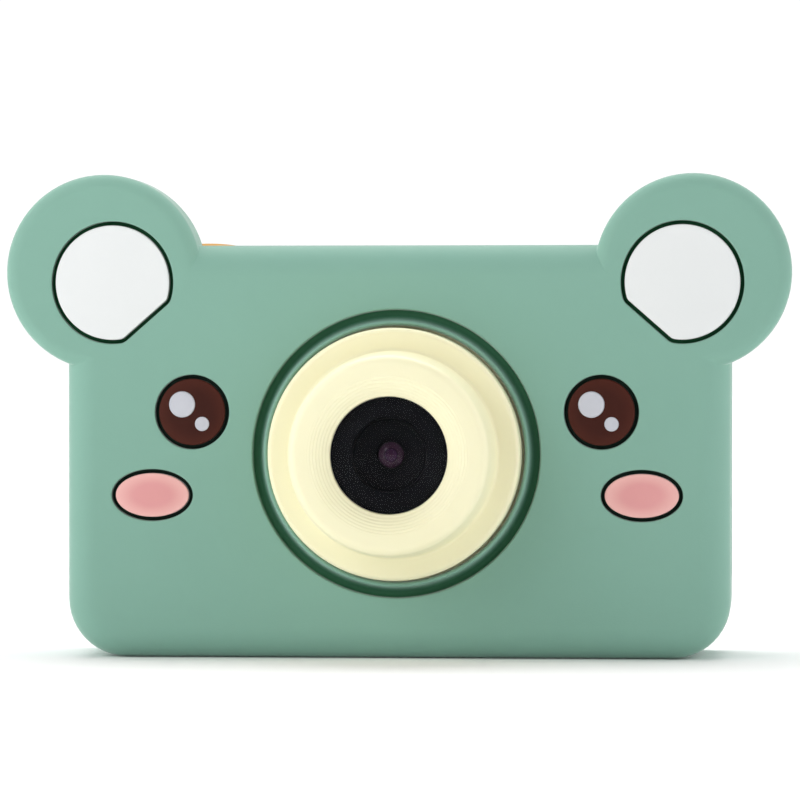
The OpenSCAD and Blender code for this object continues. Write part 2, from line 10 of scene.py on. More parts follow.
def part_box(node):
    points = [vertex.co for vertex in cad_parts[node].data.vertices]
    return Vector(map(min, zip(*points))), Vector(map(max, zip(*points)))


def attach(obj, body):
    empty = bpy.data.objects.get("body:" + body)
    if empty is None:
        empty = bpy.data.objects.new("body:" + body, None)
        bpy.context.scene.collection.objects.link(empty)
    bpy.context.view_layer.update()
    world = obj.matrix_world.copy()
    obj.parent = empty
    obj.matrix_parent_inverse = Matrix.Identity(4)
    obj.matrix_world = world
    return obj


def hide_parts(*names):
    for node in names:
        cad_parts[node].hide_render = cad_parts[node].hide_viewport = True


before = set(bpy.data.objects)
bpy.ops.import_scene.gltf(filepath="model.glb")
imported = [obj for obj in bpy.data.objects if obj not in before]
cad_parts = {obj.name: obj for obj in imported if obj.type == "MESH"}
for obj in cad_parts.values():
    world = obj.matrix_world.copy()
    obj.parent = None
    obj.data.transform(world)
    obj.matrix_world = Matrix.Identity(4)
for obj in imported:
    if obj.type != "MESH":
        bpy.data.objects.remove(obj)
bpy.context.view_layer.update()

MM = 0.001


# ==============================================================================
# Sleeve. The real one is a single piece of soft silicone rubber, compression moulded, with two
# round ears. It is stretched over the rigid camera and held on by a lip round the screen side.
# ==============================================================================

def node_box(name):
    """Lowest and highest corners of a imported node, in millimetres."""
    return [np.array(corner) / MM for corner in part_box(name)]


sleeve_low, sleeve_high = node_box("silicone_sleeve")
shell_low = node_box("front_shell")[0]
rear_high = node_box("rear_shell")[1]
barrel_low, barrel_high = node_box("lens_barrel")

FACE = sleeve_low[1]                     # the sleeve's flat face
BACK = sleeve_high[1]                    # outside of the rear lip
WALL = shell_low[2]                      # thickness of the silicone walls
HALF_W = WALL - shell_low[0]
TALL = rear_high[2] + WALL
CORNER = 8.2
BODY_ROUND = 4.3
REAR_ROUND = 2.2
EAR_R = 13.7
EAR_ROUND = 2.0
EAR_THICK = 10.2
EAR_AT = np.array([sleeve_high[0] - EAR_R, sleeve_high[2] - EAR_R])
CREASE = 0.2                             # the soft crease where an ear meets the body
LIP_REACH = 5.0
LIP_CORNER = 6.0
LIP_THICK = 1.6
LIP_EDGE = 0.45
SUPPORT = 0.12                           # flat band beside each rounded edge, which keeps its shading clean
CORNER_N, BASE_N, SIDE_N, CREASE_N, TOP_N = 12, 20, 8, 6, 20
EAR_PARTS = (8, 30, 14)                  # points along the ear, or along the side, corner and top it hides


def rounded_inset(depth, radius):
    """How far a quarter-round edge has drawn in at a depth behind its face: r - sqrt(r^2 - (r - depth)^2)."""
    short = np.clip(radius - depth, 0, radius)
    return radius - np.sqrt(radius ** 2 - short ** 2)


def span(start, end, count):
    """Points from start to end in equal steps, the end left out."""
    t = np.arange(count)[:, None] / count
    return np.array(start) * (1 - t) + np.array(end) * t


def sweep(centre, radius, start, end, count):
    """Points on a circle from one angle to another in equal steps, the end left out. Angles in radians."""
    a = start + (end - start) * np.arange(count) / count
    return np.stack([centre[0] + radius * np.cos(a), centre[1] + radius * np.sin(a)], 1)


def right_half(inset, ear_inset, ears):
    """The right half of the sleeve's outline as x, z points, from bottom centre to top centre.

    It is the union of a rounded rectangle drawn in by inset and an ear circle drawn in by
    ear_inset. Where they cross, a crease arc of radius c touches both: its centre is c outside
    the straight edge and at distance R + c from the ear's centre. Without ears, as many points
    follow the rectangle's own side, corner and top edge.
    """
    w, top, r, er = HALF_W - inset, TALL - inset, CORNER - inset, EAR_R - ear_inset
    reach = er + CREASE
    low = np.array([w + CREASE, EAR_AT[1] - math.sqrt(reach ** 2 - (w + CREASE - EAR_AT[0]) ** 2)])
    up = np.array([EAR_AT[0] - math.sqrt(reach ** 2 - (top + CREASE - EAR_AT[1]) ** 2), top + CREASE])
    parts = [
        span([0, inset], [w - r, inset], BASE_N // 2),
        sweep([w - r, inset + r], r, -math.pi / 2, 0, CORNER_N),
        span([w, inset + r], [w, low[1]], SIDE_N)]
    if ears:
        to_low = math.atan2(*(low - EAR_AT)[::-1])
        to_up = math.atan2(*(up - EAR_AT)[::-1]) % (2 * math.pi)
        parts += [
            sweep(low, CREASE, math.pi, to_low + math.pi, CREASE_N),
            sweep(EAR_AT, er, to_low, to_up, sum(EAR_PARTS)),
            sweep(up, CREASE, to_up - math.pi, -math.pi / 2, CREASE_N)]
    else:
        parts += [
            span([w, low[1]], [w, top - r], CREASE_N + EAR_PARTS[0]),
            sweep([w - r, top - r], r, 0, math.pi / 2, EAR_PARTS[1]),
            span([w - r, top], [up[0], top], CREASE_N + EAR_PARTS[2])]
    return np.concatenate(parts + [span([up[0], top], [0, top], TOP_N // 2)])


def outline(inset, ear_inset, ears=True):
    """The whole outline, anticlockwise from the front: the right half, top centre, then the mirror image."""
    right = right_half(inset, ear_inset, ears)
    return np.concatenate([right, [[0, TALL - inset]], right[1:][::-1] * [-1, 1]])


def at_depth(flat, y):
    """Lifts x, z points to one depth y."""
    return np.insert(flat, 1, y, axis=1)


def circle_ring(x, z, r, count=96):
    return sweep([x, z], r, 0, 2 * math.pi, count)


def box_ring(u, v, wide, tall, r, steps=8):
    """A rectangle with round corners centred at u, v: a quarter circle at each corner, anticlockwise."""
    a, b, turn = wide / 2 - r, tall / 2 - r, math.pi / 2
    arc = np.linspace(0, turn, steps + 1)
    return np.concatenate([
        np.stack([u + sx * a + r * np.cos(arc + k * turn), v + sy * b + r * np.sin(arc + k * turn)], 1)
        for k, (sx, sy) in enumerate([(1, 1), (-1, 1), (-1, -1), (1, -1)])])


def grown(ring, by):
    """Moves an anticlockwise ring along its own normals: outward by a distance, inward by a negative one."""
    tangent = np.roll(ring, -1, 0) - np.roll(ring, 1, 0)
    tangent /= np.linalg.norm(tangent, axis=1)[:, None]
    return ring + np.stack([tangent[:, 1], -tangent[:, 0]], 1) * by


def inside(points, ring):
    """True for each point inside the ring: a level ray from it crosses the ring an odd number of times."""
    a, b = ring, np.roll(ring, -1, 0)
    px, py = points[:, :1], points[:, 1:2]
    rise = np.where(b[:, 1] == a[:, 1], 1e-12, b[:, 1] - a[:, 1])
    at = a[:, 0] + (py - a[:, 1]) / rise * (b[:, 0] - a[:, 0])
    return (((a[:, 1] > py) != (b[:, 1] > py)) & (px < at)).sum(1) % 2 == 1


QUARTER = np.linspace(0, math.pi / 2, 7)


def rounded_edge(ring, size, end, side, first=0):
    """Loops of a quarter-round edge: a ring drawn in by size as it nears a flat end at depth end.

    side is 1 if the edge lies behind that end and -1 if it lies in front of it.
    """
    return [at_depth(grown(ring, -size * (1 - math.cos(a))), end + side * size * (1 - math.sin(a)))
            for a in QUARTER[first:]]


class Skin:
    """Collects the points and faces of one piece, in millimetres."""

    def __init__(self):
        self.points, self.faces, self.count = [], [], 0

    def add(self, points, faces):
        self.points.append(points)
        self.faces += (np.asarray(faces) + self.count).tolist()
        self.count += len(points)

    def rings(self, loops, closed=True):
        """Joins each ring of points to the next one with four-sided faces."""
        grid = np.arange(len(loops) * len(loops[0])).reshape(len(loops), -1)
        wide = np.concatenate([grid, grid[:, :1]], 1) if closed else grid
        quads = np.stack([wide[:-1, :-1], wide[:-1, 1:], wide[1:, 1:], wide[1:, :-1]], -1)
        self.add(np.concatenate(loops), quads.reshape(-1, 4))

    def sheet(self, outer, holes, lift):
        """Fills the flat area between an outer ring and its holes. lift takes flat points into space."""
        edges, start = [], 0
        for ring in [outer] + holes:
            i = np.arange(len(ring))
            edges += np.stack([start + i, start + (i + 1) % len(ring)], 1).tolist()
            start += len(ring)
        flat = np.concatenate([outer] + holes)
        made = delaunay_2d_cdt([tuple(p) for p in flat], edges, [], 1, 1e-7, False)
        spots, tris = np.array([tuple(p) for p in made[0]]), np.array(made[2])
        middle = spots[tris].mean(1)
        keep = inside(middle, outer)
        for hole in holes:
            keep &= ~inside(middle, hole)
        self.add(lift(spots), tris[keep])

    def turned(self, profile, x=0.0, z=0.0, axis=1, count=96):
        """Carries a profile of radius, height points round an axis along y, or z, through a flat point."""
        self.rings([np.insert(circle_ring(x, z, max(r, 1e-4), count), axis, h, axis=1)
                    for r, h in profile])


def piece(name, skin, body, replaced=(), sharp=50):
    """Makes a piece's object, in metres and with its faces outward. Edges over sharp degrees stay crisp."""
    mesh = bpy.data.meshes.new(name)
    mesh.from_pydata(np.concatenate(skin.points) * MM, [], skin.faces)
    work = bmesh.new()
    work.from_mesh(mesh)
    bmesh.ops.remove_doubles(work, verts=work.verts, dist=0.002 * MM)
    bmesh.ops.dissolve_degenerate(work, edges=work.edges, dist=0.001 * MM)
    bmesh.ops.recalc_face_normals(work, faces=work.faces)
    open_edges = sum(not e.is_manifold for e in work.edges)
    if open_edges:
        print("open edges:", name, open_edges)
    work.to_mesh(mesh)
    work.free()
    mesh.shade_smooth()
    mesh.set_sharp_from_angle(angle=math.radians(sharp))
    made = bpy.data.objects.new(name, mesh)
    bpy.context.scene.collection.objects.link(made)
    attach(made, body)
    if replaced:
        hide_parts(*replaced)
    return made


sleeve = Skin()

# Front rounding and sides, from the flat face to the flat backs of the ears
front_depths = BODY_ROUND * (1 - np.cos(np.linspace(0, math.pi / 2, 16)))
ear_back_depths = EAR_THICK - EAR_ROUND * (1 - np.sin(np.linspace(0, math.pi / 2, 10)))
loops = [at_depth(outline(BODY_ROUND + SUPPORT, EAR_ROUND + SUPPORT), FACE)]
face_edge = loops[0][:, [0, 2]]
for depth in np.concatenate([front_depths, ear_back_depths]):
    ear_in = rounded_inset(min(depth, EAR_THICK - depth), EAR_ROUND)
    loops.append(at_depth(outline(rounded_inset(depth, BODY_ROUND), ear_in), FACE + depth))
sleeve.rings(loops)

# Backs of the ears, between the ear's outline and the body's own corner
bare = outline(0, EAR_ROUND, ears=False)
first = BASE_N // 2 + CORNER_N + SIDE_N
ear_index = np.arange(first, first + 2 * CREASE_N + sum(EAR_PARTS) + 1)
for index in (ear_index, (len(bare) - ear_index) % len(bare)):
    sleeve.rings([loops[-1][index], at_depth(bare, FACE + EAR_THICK)[index]], closed=False)

# Rear rounding, then the rear lip with its soft inner edge
rear_edge = outline(REAR_ROUND, EAR_ROUND, ears=False)


def lip_ring(reach, radius):
    """Each point of the rear edge moved in by reach, onto a rounded rectangle with corners of a radius.

    The straight stretches change in proportion, and each corner point keeps its direction from
    its own corner's centre.
    """
    half = np.array([HALF_W, TALL / 2])
    middle = np.array([0, TALL / 2])
    core = half - CORNER
    flat = rear_edge - middle
    held = np.clip(flat, -core, core)
    away = flat - held
    away /= np.linalg.norm(away, axis=1)[:, None]
    return held / core * (half - reach - radius) + away * radius + middle


rear_loops = [at_depth(bare, FACE + EAR_THICK), at_depth(bare, FACE + EAR_THICK + SUPPORT)]
outer_loops = [at_depth(bare, BACK - REAR_ROUND - SUPPORT)]
for a in np.linspace(0, math.pi / 2, 9):
    drawn = outline(REAR_ROUND * (1 - math.cos(a)), EAR_ROUND, ears=False)
    outer_loops.append(at_depth(drawn, BACK - REAR_ROUND * (1 - math.sin(a))))
for a in QUARTER:
    back_off = LIP_EDGE * (1 - math.sin(a))
    outer_loops.append(at_depth(lip_ring(LIP_REACH - back_off, LIP_CORNER + back_off),
                                BACK - LIP_EDGE * (1 - math.cos(a))))
FIT = 0.03                               # the sleeve's cavity stands this far off the rigid shell
INNER_FRONT = shell_low[1] - FIT
outer_loops.append(at_depth(lip_ring(LIP_REACH, LIP_CORNER), BACK - LIP_THICK + FIT))
cavity = lip_ring(WALL - FIT, CORNER - WALL + FIT)
outer_loops.append(at_depth(cavity, BACK - LIP_THICK + FIT))
cavity_front = at_depth(cavity, INNER_FRONT)
sleeve.rings(rear_loops)
sleeve.rings(outer_loops)


def straight(ring, axis, value, limit):
    """Indices, in order, of a ring's points on one straight edge, where a coordinate has a value.

    limit gives the range of the other coordinate.
    """
    near = 1e-6
    across = ring[:, 1 - axis]
    on = (abs(ring[:, axis] - value) < near) & (across > limit[0] - near) & (across < limit[1] + near)
    index = np.flatnonzero(on)
    jump = np.flatnonzero(np.diff(index) > 1)
    return np.roll(index, -(jump[0] + 1)) if len(jump) else index


def rings_with_panels(front, back, panels):
    """Joins two rings, apart from the straight stretches of panels, each filled flat round its openings."""
    n = len(front)
    covered = np.zeros(n, bool)
    for index, _, _ in panels:
        covered[index[:-1]] = True
    here = np.flatnonzero(~covered)
    there = (here + 1) % n
    sleeve.add(np.concatenate([front, back]), np.stack([here, there, there + n, here + n], 1))
    for index, axis, openings in panels:
        rim = np.concatenate([front[index], back[index][::-1]])
        flat = np.delete(rim, axis, axis=1)
        sleeve.sheet(flat, openings, lambda spots, axis=axis, level=rim[0, axis]:
                     np.insert(spots, axis, level, axis=1))


def through(ring, axis, outer, inner, lip=0.35):
    """An opening through a wall: a quarter-round lip, then straight in. Returns its outline on both sides."""
    inward = np.sign(inner - outer)
    cut = [np.insert(grown(ring, lip + SUPPORT), axis, outer, axis=1)]
    cut += [np.insert(grown(ring, lip * (1 - math.sin(a))), axis,
                      outer + inward * lip * (1 - math.cos(a)), axis=1) for a in QUARTER]
    sleeve.rings(cut + [np.insert(ring, axis, inner, axis=1)])
    return grown(ring, lip + SUPPORT), ring


FLANGE = 0.7                             # hidden flange round each button's cap
BUTTON_GAP = 0.4


def button_place(name):
    """Middle of a top button and the radius of its cap."""
    low, high = node_box(name)
    return (low + high)[:2] / 2, (high[0] - low[0]) / 2 - FLANGE


KNUCKLE_R = 0.9                          # the port cover's hinge barrel
cover_low, cover_high = node_box("port_cover")
knuckle = np.array([cover_low[0] + KNUCKLE_R, cover_high[1] - KNUCKLE_R])
PORT_WIDE, PORT_SPARE, PORT_CORNER = 9.8, 2.2, 1.5
PORT_OFF = 3.0                           # from the hinge line forward to the middle of the window
STRAP_AT, STRAP_SIZE, STRAP_CORNER = (BACK - 6.3, 11.6), (5.0, 5.6), 1.0
skin_in = WALL - FIT
(shutter_at, shutter_r), (power_at, power_r) = button_place("shutter_button"), button_place("power_button")
top_cuts = [through(circle_ring(*at, r + BUTTON_GAP, 56), 2, TALL, TALL - skin_in)
            for at, r in ((shutter_at, shutter_r), (power_at, power_r))]
port_ring = box_ring(knuckle[1] - PORT_OFF, (cover_low + cover_high)[2] / 2,
                     PORT_WIDE, (cover_high - cover_low)[2] + PORT_SPARE, PORT_CORNER)
port_cut = through(port_ring, 0, HALF_W, HALF_W - skin_in)
strap_cut = through(box_ring(*STRAP_AT, *STRAP_SIZE, STRAP_CORNER), 0, -HALF_W, -HALF_W + skin_in)
edges = [straight(bare, 1, TALL, (CORNER - HALF_W, HALF_W - CORNER)),
         straight(bare, 0, HALF_W, (CORNER, TALL - CORNER)),
         straight(bare, 0, -HALF_W, (CORNER, TALL - CORNER))]
for ring_pair, side in (((rear_loops[-1], outer_loops[0]), 0), ((outer_loops[-1], cavity_front), 1)):
    rings_with_panels(*ring_pair, [
        (edges[0], 2, [cut[side] for cut in top_cuts]),
        (edges[1], 0, [port_cut[side]]), (edges[2], 0, [strap_cut[side]])])

# Recesses in the face: each has a soft lip, a wall, a round foot and a flat floor
INLAY_AT, INLAY_R, INLAY_CHORD, INLAY_CORNER = (39.75, 52.45), 8.0, 6.85, 1.3
CHORD_TURN = math.radians(-48.7)         # from the inlay's centre towards the middle of its straight edge
EYE_AT, EYE_R = (28.55, 34.4), 4.65
CHEEK_AT, CHEEK_HALF = (34.15, 22.8), (5.15, 3.06)
GROOVE = 0.54
RECESS = 1.5
LIP = 0.24
FOOT = 0.3


def inlay_ring(side, grow=0.0):
    """Outline of an ear inlay: a circle of radius R cut by a line at distance h, with corner radius c.

    Each corner arc touches both, so its centre is at distance R - c from the middle and h - c along
    the cut's normal.
    """
    big, chord, c = INLAY_R + grow, INLAY_CHORD + grow, INLAY_CORNER + grow
    along = chord - c
    across = math.sqrt((big - c) ** 2 - along ** 2)
    turn = math.atan2(across, along)
    ring = np.concatenate([
        sweep([0, 0], big, turn, 2 * math.pi - turn, 86),
        sweep([along, -across], c, -turn, 0, 12),
        [[chord, -across]],
        sweep([along, across], c, 0, turn, 12)])
    cos, sin = math.cos(CHORD_TURN), math.sin(CHORD_TURN)
    ring = ring @ np.array([[cos, sin], [-sin, cos]])
    if side > 0:
        ring = (ring * [-1, 1])[::-1]
    return ring + [side * INLAY_AT[0], INLAY_AT[1]]


def eye_ring(side, grow=0.0):
    return circle_ring(side * EYE_AT[0], EYE_AT[1], EYE_R + grow, 72)


def cheek_ring(side, grow=0.0):
    a = 2 * math.pi * np.arange(72) / 72
    ring = np.stack([CHEEK_HALF[0] * np.cos(a), CHEEK_HALF[1] * np.sin(a)], 1)
    return grown(ring, grow) + [side * CHEEK_AT[0], CHEEK_AT[1]]


face_holes = []
for shape in (inlay_ring, eye_ring, cheek_ring):
    for side in (-1, 1):
        ring = shape(side, GROOVE)
        loops = [at_depth(grown(ring, LIP + SUPPORT), FACE)]
        loops += [at_depth(grown(ring, LIP * (1 - math.sin(a))), FACE + LIP * (1 - math.cos(a)))
                  for a in QUARTER]
        loops += rounded_edge(ring, FOOT, FACE + RECESS, -1)
        floor = grown(ring, -GROOVE - FOOT)
        sleeve.rings(loops + [at_depth(floor, FACE + RECESS)])
        sleeve.sheet(floor, [], lambda spots: at_depth(spots, FACE + RECESS))
        face_holes.append(loops[0][:, [0, 2]])

# Ditch round the lens: a steep outer wall, a round floor, a raised soft ring, then the barrel's hole.
# Depths are from the face
LENS_Z = (barrel_low + barrel_high)[2] / 2
DITCH_R, HOLE_R = 20.1, 17.85
RING_N = 144
FLOOR_R, FLOOR_DEEP, FLOOR_HALF = 19.5, 0.95, (0.5, 0.45)
RISE = [(19.2, 1.37), (18.98, 1.2), (18.82, 0.95), (18.7, 0.65), (18.58, 0.42)]
SOFT_R, SOFT_DEEP, SOFT_ROUND = 18.28, 0.4, 0.3
ditch = [(DITCH_R + LIP + SUPPORT, 0.0)]
ditch += [(DITCH_R + LIP * (1 - math.sin(a)), LIP * (1 - math.cos(a))) for a in QUARTER]
ditch += [(FLOOR_R + FLOOR_HALF[0] * math.cos(a), FLOOR_DEEP + FLOOR_HALF[1] * math.sin(a))
          for a in np.linspace(0.1, math.pi / 2, 6)]
ditch += RISE
ditch += [(SOFT_R + SOFT_ROUND * math.cos(a), SOFT_DEEP - SOFT_ROUND * math.sin(a))
          for a in np.linspace(0.3, 2.9, 9)]
ditch += [(17.95, 0.6), (HOLE_R, 1.0), (HOLE_R, INNER_FRONT - FACE)]
sleeve.turned([(r, FACE + depth) for r, depth in ditch], 0, LENS_Z, count=RING_N)
sleeve.sheet(face_edge, face_holes + [circle_ring(0, LENS_Z, ditch[0][0], RING_N)],
             lambda spots: at_depth(spots, FACE))
sleeve.sheet(cavity_front[:, [0, 2]], [circle_ring(0, LENS_Z, HOLE_R, RING_N)],
             lambda spots: at_depth(spots, INNER_FRONT))
sleeve_piece = piece("sleeve", sleeve, "camera", ["silicone_sleeve"])


def linear(code):
    """An sRGB hex colour as linear red, green, blue and full alpha."""
    value = np.array([int(code[i:i + 2], 16) for i in (1, 3, 5)]) / 255
    return (*np.where(value < 0.04045, value / 12.92, ((value + 0.055) / 1.055) ** 2.4), 1.0)


def add_node(tree, kind, values=None, links=None, **settings):
    """Adds one node, sets its properties and its input values, and links sockets to its inputs."""
    made = tree.nodes.new(kind)
    for key, value in settings.items():
        setattr(made, key, value)
    for key, value in (values or {}).items():
        made.inputs[key].default_value = value
    for key, socket in (links or {}).items():
        tree.links.new(socket, made.inputs[key])
    return made


def new_material(name, shader):
    """A material with one Principled shader, whose uniform values are set on its own sockets.

    Returns it, its tree, the shader and the object's own coordinates.
    """
    made = bpy.data.materials.new(name)
    made.use_nodes = True
    tree = made.node_tree
    tree.nodes.clear()
    surface = add_node(tree, "ShaderNodeBsdfPrincipled", shader)
    add_node(tree, "ShaderNodeOutputMaterial", links={"Surface": surface.outputs[0]})
    return made, tree, surface, add_node(tree, "ShaderNodeTexCoord").outputs["Object"]


def two_shades(tree, surface, light, dark, amount):
    """Colours a surface between two shades by an amount from 0 to 1. Returns the colour."""
    mix = add_node(tree, "ShaderNodeMix", {6: linear(light), 7: linear(dark)}, {0: amount}, data_type="RGBA")
    tree.links.new(mix.outputs[2], surface.inputs["Base Color"])
    return mix.outputs[2]


def uneven(tree, surface, place, size, low, high):
    """Lets a surface's roughness wander between two values over patches of a size in mm."""
    patches = add_node(tree, "ShaderNodeTexNoise", {"Scale": 1 / (size * MM), "Detail": 3.0},
                       {"Vector": place})
    level = add_node(tree, "ShaderNodeMapRange", {"To Min": low, "To Max": high},
                     {"Value": patches.outputs["Fac"]})
    tree.links.new(level.outputs[0], surface.inputs["Roughness"])
    return patches.outputs["Fac"]


def moulded(name, light, dark, grain, depth, shader, patch=18.0, rough=(0.0, 0.0)):
    """A moulded surface: colour drifts between two near shades in patches, and the mould's grain lifts it.

    light and dark are the two shades, grain and patch are sizes in mm, depth is the grain's height
    in mm, and rough is the range of roughness over patches a fifth as large.
    """
    made, tree, surface, place = new_material(name, shader)
    broad = add_node(tree, "ShaderNodeTexNoise", {"Scale": 1 / (patch * MM), "Detail": 2.0},
                     {"Vector": place})
    shade = two_shades(tree, surface, light, dark, broad.outputs["Fac"])
    fine = add_node(tree, "ShaderNodeTexNoise", {
        "Scale": 1 / (grain * MM), "Detail": 3.0, "Roughness": 0.6}, {"Vector": place})
    lift = add_node(tree, "ShaderNodeBump", {"Distance": depth * MM}, {"Height": fine.outputs["Fac"]})
    tree.links.new(lift.outputs[0], surface.inputs["Normal"])
    if rough[1]:
        uneven(tree, surface, place, patch / 5, *rough)
    return made, tree, surface, shade


def lay_print_and_shade(tree, surface, shade, attribute, ink):
    """Lays a colour over a base colour where a point attribute says so: print, and painted shade in grooves.
    """
    amount = add_node(tree, "ShaderNodeAttribute", attribute_name=attribute)
    mix = add_node(tree, "ShaderNodeMix", {7: linear(ink)}, {0: amount.outputs["Fac"], 6: shade},
                   data_type="RGBA")
    tree.links.new(mix.outputs[2], surface.inputs["Base Color"])
    return mix.outputs[2]


def set_attribute(made, name, values):
    """Stores one number per point of a piece's mesh."""
    made.data.attributes.new(name, "FLOAT", "POINT").data.foreach_set("value", values.astype(np.float32))


def mesh_points(made):
    """A piece's points in millimetres, as an array."""
    flat = np.empty(len(made.data.vertices) * 3)
    made.data.vertices.foreach_get("co", flat)
    return flat.reshape(-1, 3) / MM


def ramp(value, start, end):
    """0 below start, 1 above end, straight between."""
    return np.clip((value - start) / (end - start), 0, 1)


# Platinum-cured silicone, matt from a bead-blasted mould: dry to the touch, a powdery light at its
# edges and a little light passing through. The grooves of the face darken with depth: partly a dark
# print, partly painted shade.
SILICONE = {"Roughness": 0.62, "IOR": 1.41, "Specular IOR Level": 0.35, "Sheen Weight": 0.55,
            "Sheen Roughness": 0.32, "Subsurface Weight": 0.06, "Subsurface Radius": (1.0, 1.0, 1.0),
            "Subsurface Scale": 0.6 * MM}
GREEN_PRINT_AND_SHADE, BLACK_PRINT_AND_SHADE = "#0f5230", "#0f2b20"
# Blasting leaves a grain of about 0.05 mm; it is drawn at 0.22 mm so that it shows
mint, tree, surface, shade = moulded("silicone rubber, matt moulded, mint", "#86b1a1", "#82ad9d", 0.22, 0.012,
                                     SILICONE, rough=(0.54, 0.72))
WALL_PRINT_AND_SHADE, DITCH_PRINT_AND_SHADE = (0.08, 0.28), (0.1, 0.75)   # depths between which the print and painted shade set in
DITCH_INNER, DITCH_SHARE = (18.5, 19.1), 0.92         # radii over which it ends, and its strength there
spots = mesh_points(sleeve_piece)
flat, depth = spots[:, [0, 2]], spots[:, 1] - FACE
in_face = (depth > 0.05) & (depth < RECESS + 0.1)
green, black = np.zeros(len(spots)), np.zeros(len(spots))
# Inside each recess the wall darkens with depth, green round the ears and near black round the eyes and
# cheeks: partly the outlines' print, partly painted shade
for shape, amount in ((inlay_ring, green), (eye_ring, black), (cheek_ring, black)):
    for side in (-1, 1):
        here = in_face & inside(flat, shape(side, GROOVE + 0.1))
        amount[here] = ramp(depth[here], *WALL_PRINT_AND_SHADE)
# Round the lens the ditch darkens with depth and fades out towards the barrel: painted shade, partly with a
# dark green print
radius = np.hypot(flat[:, 0], flat[:, 1] - LENS_Z)
here = in_face & (radius > DITCH_INNER[0]) & (radius < DITCH_R + 0.1)
green[here] = ramp(depth[here], *DITCH_PRINT_AND_SHADE) * ramp(radius[here], *DITCH_INNER) * DITCH_SHARE
set_attribute(sleeve_piece, "green_print_and_shade", green)
set_attribute(sleeve_piece, "black_print_and_shade", black)
shade = lay_print_and_shade(tree, surface, shade, "green_print_and_shade", GREEN_PRINT_AND_SHADE)
lay_print_and_shade(tree, surface, shade, "black_print_and_shade", BLACK_PRINT_AND_SHADE)
sleeve_piece.data.materials.append(mint)


# ==============================================================================
# Face inlays. Each is a small silicone part of another colour, moulded first and set into its
# recess in the sleeve. The ears are white, the eyes brown with two light spots, the cheeks pink.
# ==============================================================================

EDGE = 0.22
WELL_DEEP = 0.8


def inlay_piece(name, node, ring_of, side, finish, crown=0.0, sink=0.04, inner=()):
    """An inlay: a wall, a rounded edge, then a face that rises to a crown as 1 - s^2 towards its middle.

    The wall stands on the recess's floor, and the face's edge lies sink below the sleeve's.
    inner holds the outlines of wells left open in a flat face, as x, z, radius.
    """
    skin = Skin()
    ring = ring_of(side)
    loops = [at_depth(ring, FACE + RECESS), at_depth(ring, FACE + sink + EDGE)]
    loops += rounded_edge(ring, EDGE, FACE + sink, 1, first=1)
    top = grown(ring, -EDGE)
    skin.rings(loops)
    skin.sheet(ring, [], lambda p: at_depth(p, FACE + RECESS))
    if inner:
        wells = [circle_ring(*well, 48) for well in inner]
        skin.sheet(top, wells, lambda p: at_depth(p, FACE + sink))
        for well in wells:
            skin.rings([at_depth(well, FACE + sink), at_depth(well, FACE + WELL_DEEP)])
            skin.sheet(well, [], lambda p: at_depth(p, FACE + WELL_DEEP))
    else:
        middle = top.mean(0)
        share = np.sqrt(np.linspace(1, 0, 14))
        skin.rings([at_depth(middle + (top - middle) * max(s, 1e-4), FACE + sink - crown * (1 - s * s))
                    for s in share])
    made = piece(name, skin, "camera", [node])
    points = mesh_points(made)
    # The wall darkens with depth into the groove: partly the outline's print, partly painted shade
    on_wall = ~inside(points[:, [0, 2]], grown(ring, -0.1))
    set_attribute(made, "ink", ramp(points[:, 1] - FACE, 0.16, 0.3) * on_wall)
    made.data.materials.append(finish)


def painted_rim_highlight(tree, shade, at, half, code, start):
    """Lays a lighter colour over a base colour towards the rim of a round or oval piece: a painted highlight.

    The share s is the distance from the piece's middle with each axis divided by its half size. It
    rises smoothly from start to the rim. Left and right pieces share it, as x counts without its sign.
    """
    place = add_node(tree, "ShaderNodeTexCoord").outputs["Object"]
    axes = add_node(tree, "ShaderNodeSeparateXYZ", links={0: place})
    mirrored = add_node(tree, "ShaderNodeMath", links={0: axes.outputs["X"]}, operation="ABSOLUTE")
    flat = add_node(tree, "ShaderNodeCombineXYZ", links={"X": mirrored.outputs[0], "Z": axes.outputs["Z"]})
    centred = add_node(tree, "ShaderNodeMapping", {
        "Location": (-at[0] / half[0], 0, -at[1] / half[1]),
        "Scale": (1 / (half[0] * MM), 1, 1 / (half[1] * MM))}, {"Vector": flat.outputs[0]})
    share = add_node(tree, "ShaderNodeVectorMath", links={0: centred.outputs[0]}, operation="LENGTH")
    amount = add_node(tree, "ShaderNodeMapRange", {"From Min": start}, {"Value": share.outputs["Value"]},
                      interpolation_type="SMOOTHSTEP")
    mix = add_node(tree, "ShaderNodeMix", {7: linear(code)}, {0: amount.outputs[0], 6: shade},
                   data_type="RGBA")
    return mix.outputs[2]


# Undyed silicone with white pigment: as dry as the sleeve, very slightly bluish
white, tree, surface, shade = moulded("silicone rubber, matt moulded, white", "#e9ebeb", "#e4e7e7",
                                      0.22, 0.008, SILICONE, rough=(0.55, 0.68))
# Deep in the groove the inlay's wall takes a dark green: partly print, partly painted shade
lay_print_and_shade(tree, surface, shade, "ink", GREEN_PRINT_AND_SHADE)
pink, tree, surface, shade = moulded("silicone rubber, matt moulded, pink", "#e5a3a2", "#e09b9b", 0.22, 0.008,
                                     SILICONE, patch=6.0, rough=(0.5, 0.66))
# The cheek's rim is painted lighter: a painted highlight along its edge
rim_highlight = painted_rim_highlight(tree, shade, CHEEK_AT, CHEEK_HALF, "#efb8b3", 0.45)
# Deep in the groove the cheek's wall takes a near black: partly print, partly painted shade
lay_print_and_shade(tree, surface, rim_highlight, "ink", BLACK_PRINT_AND_SHADE)
brown, tree, surface, shade = moulded("silicone rubber, matt moulded, brown", "#40170c", "#37120a",
                                      0.22, 0.006, SILICONE | {
                                          "Sheen Weight": 0.06, "Specular IOR Level": 0.25},
                                      patch=5.0, rough=(0.5, 0.66))
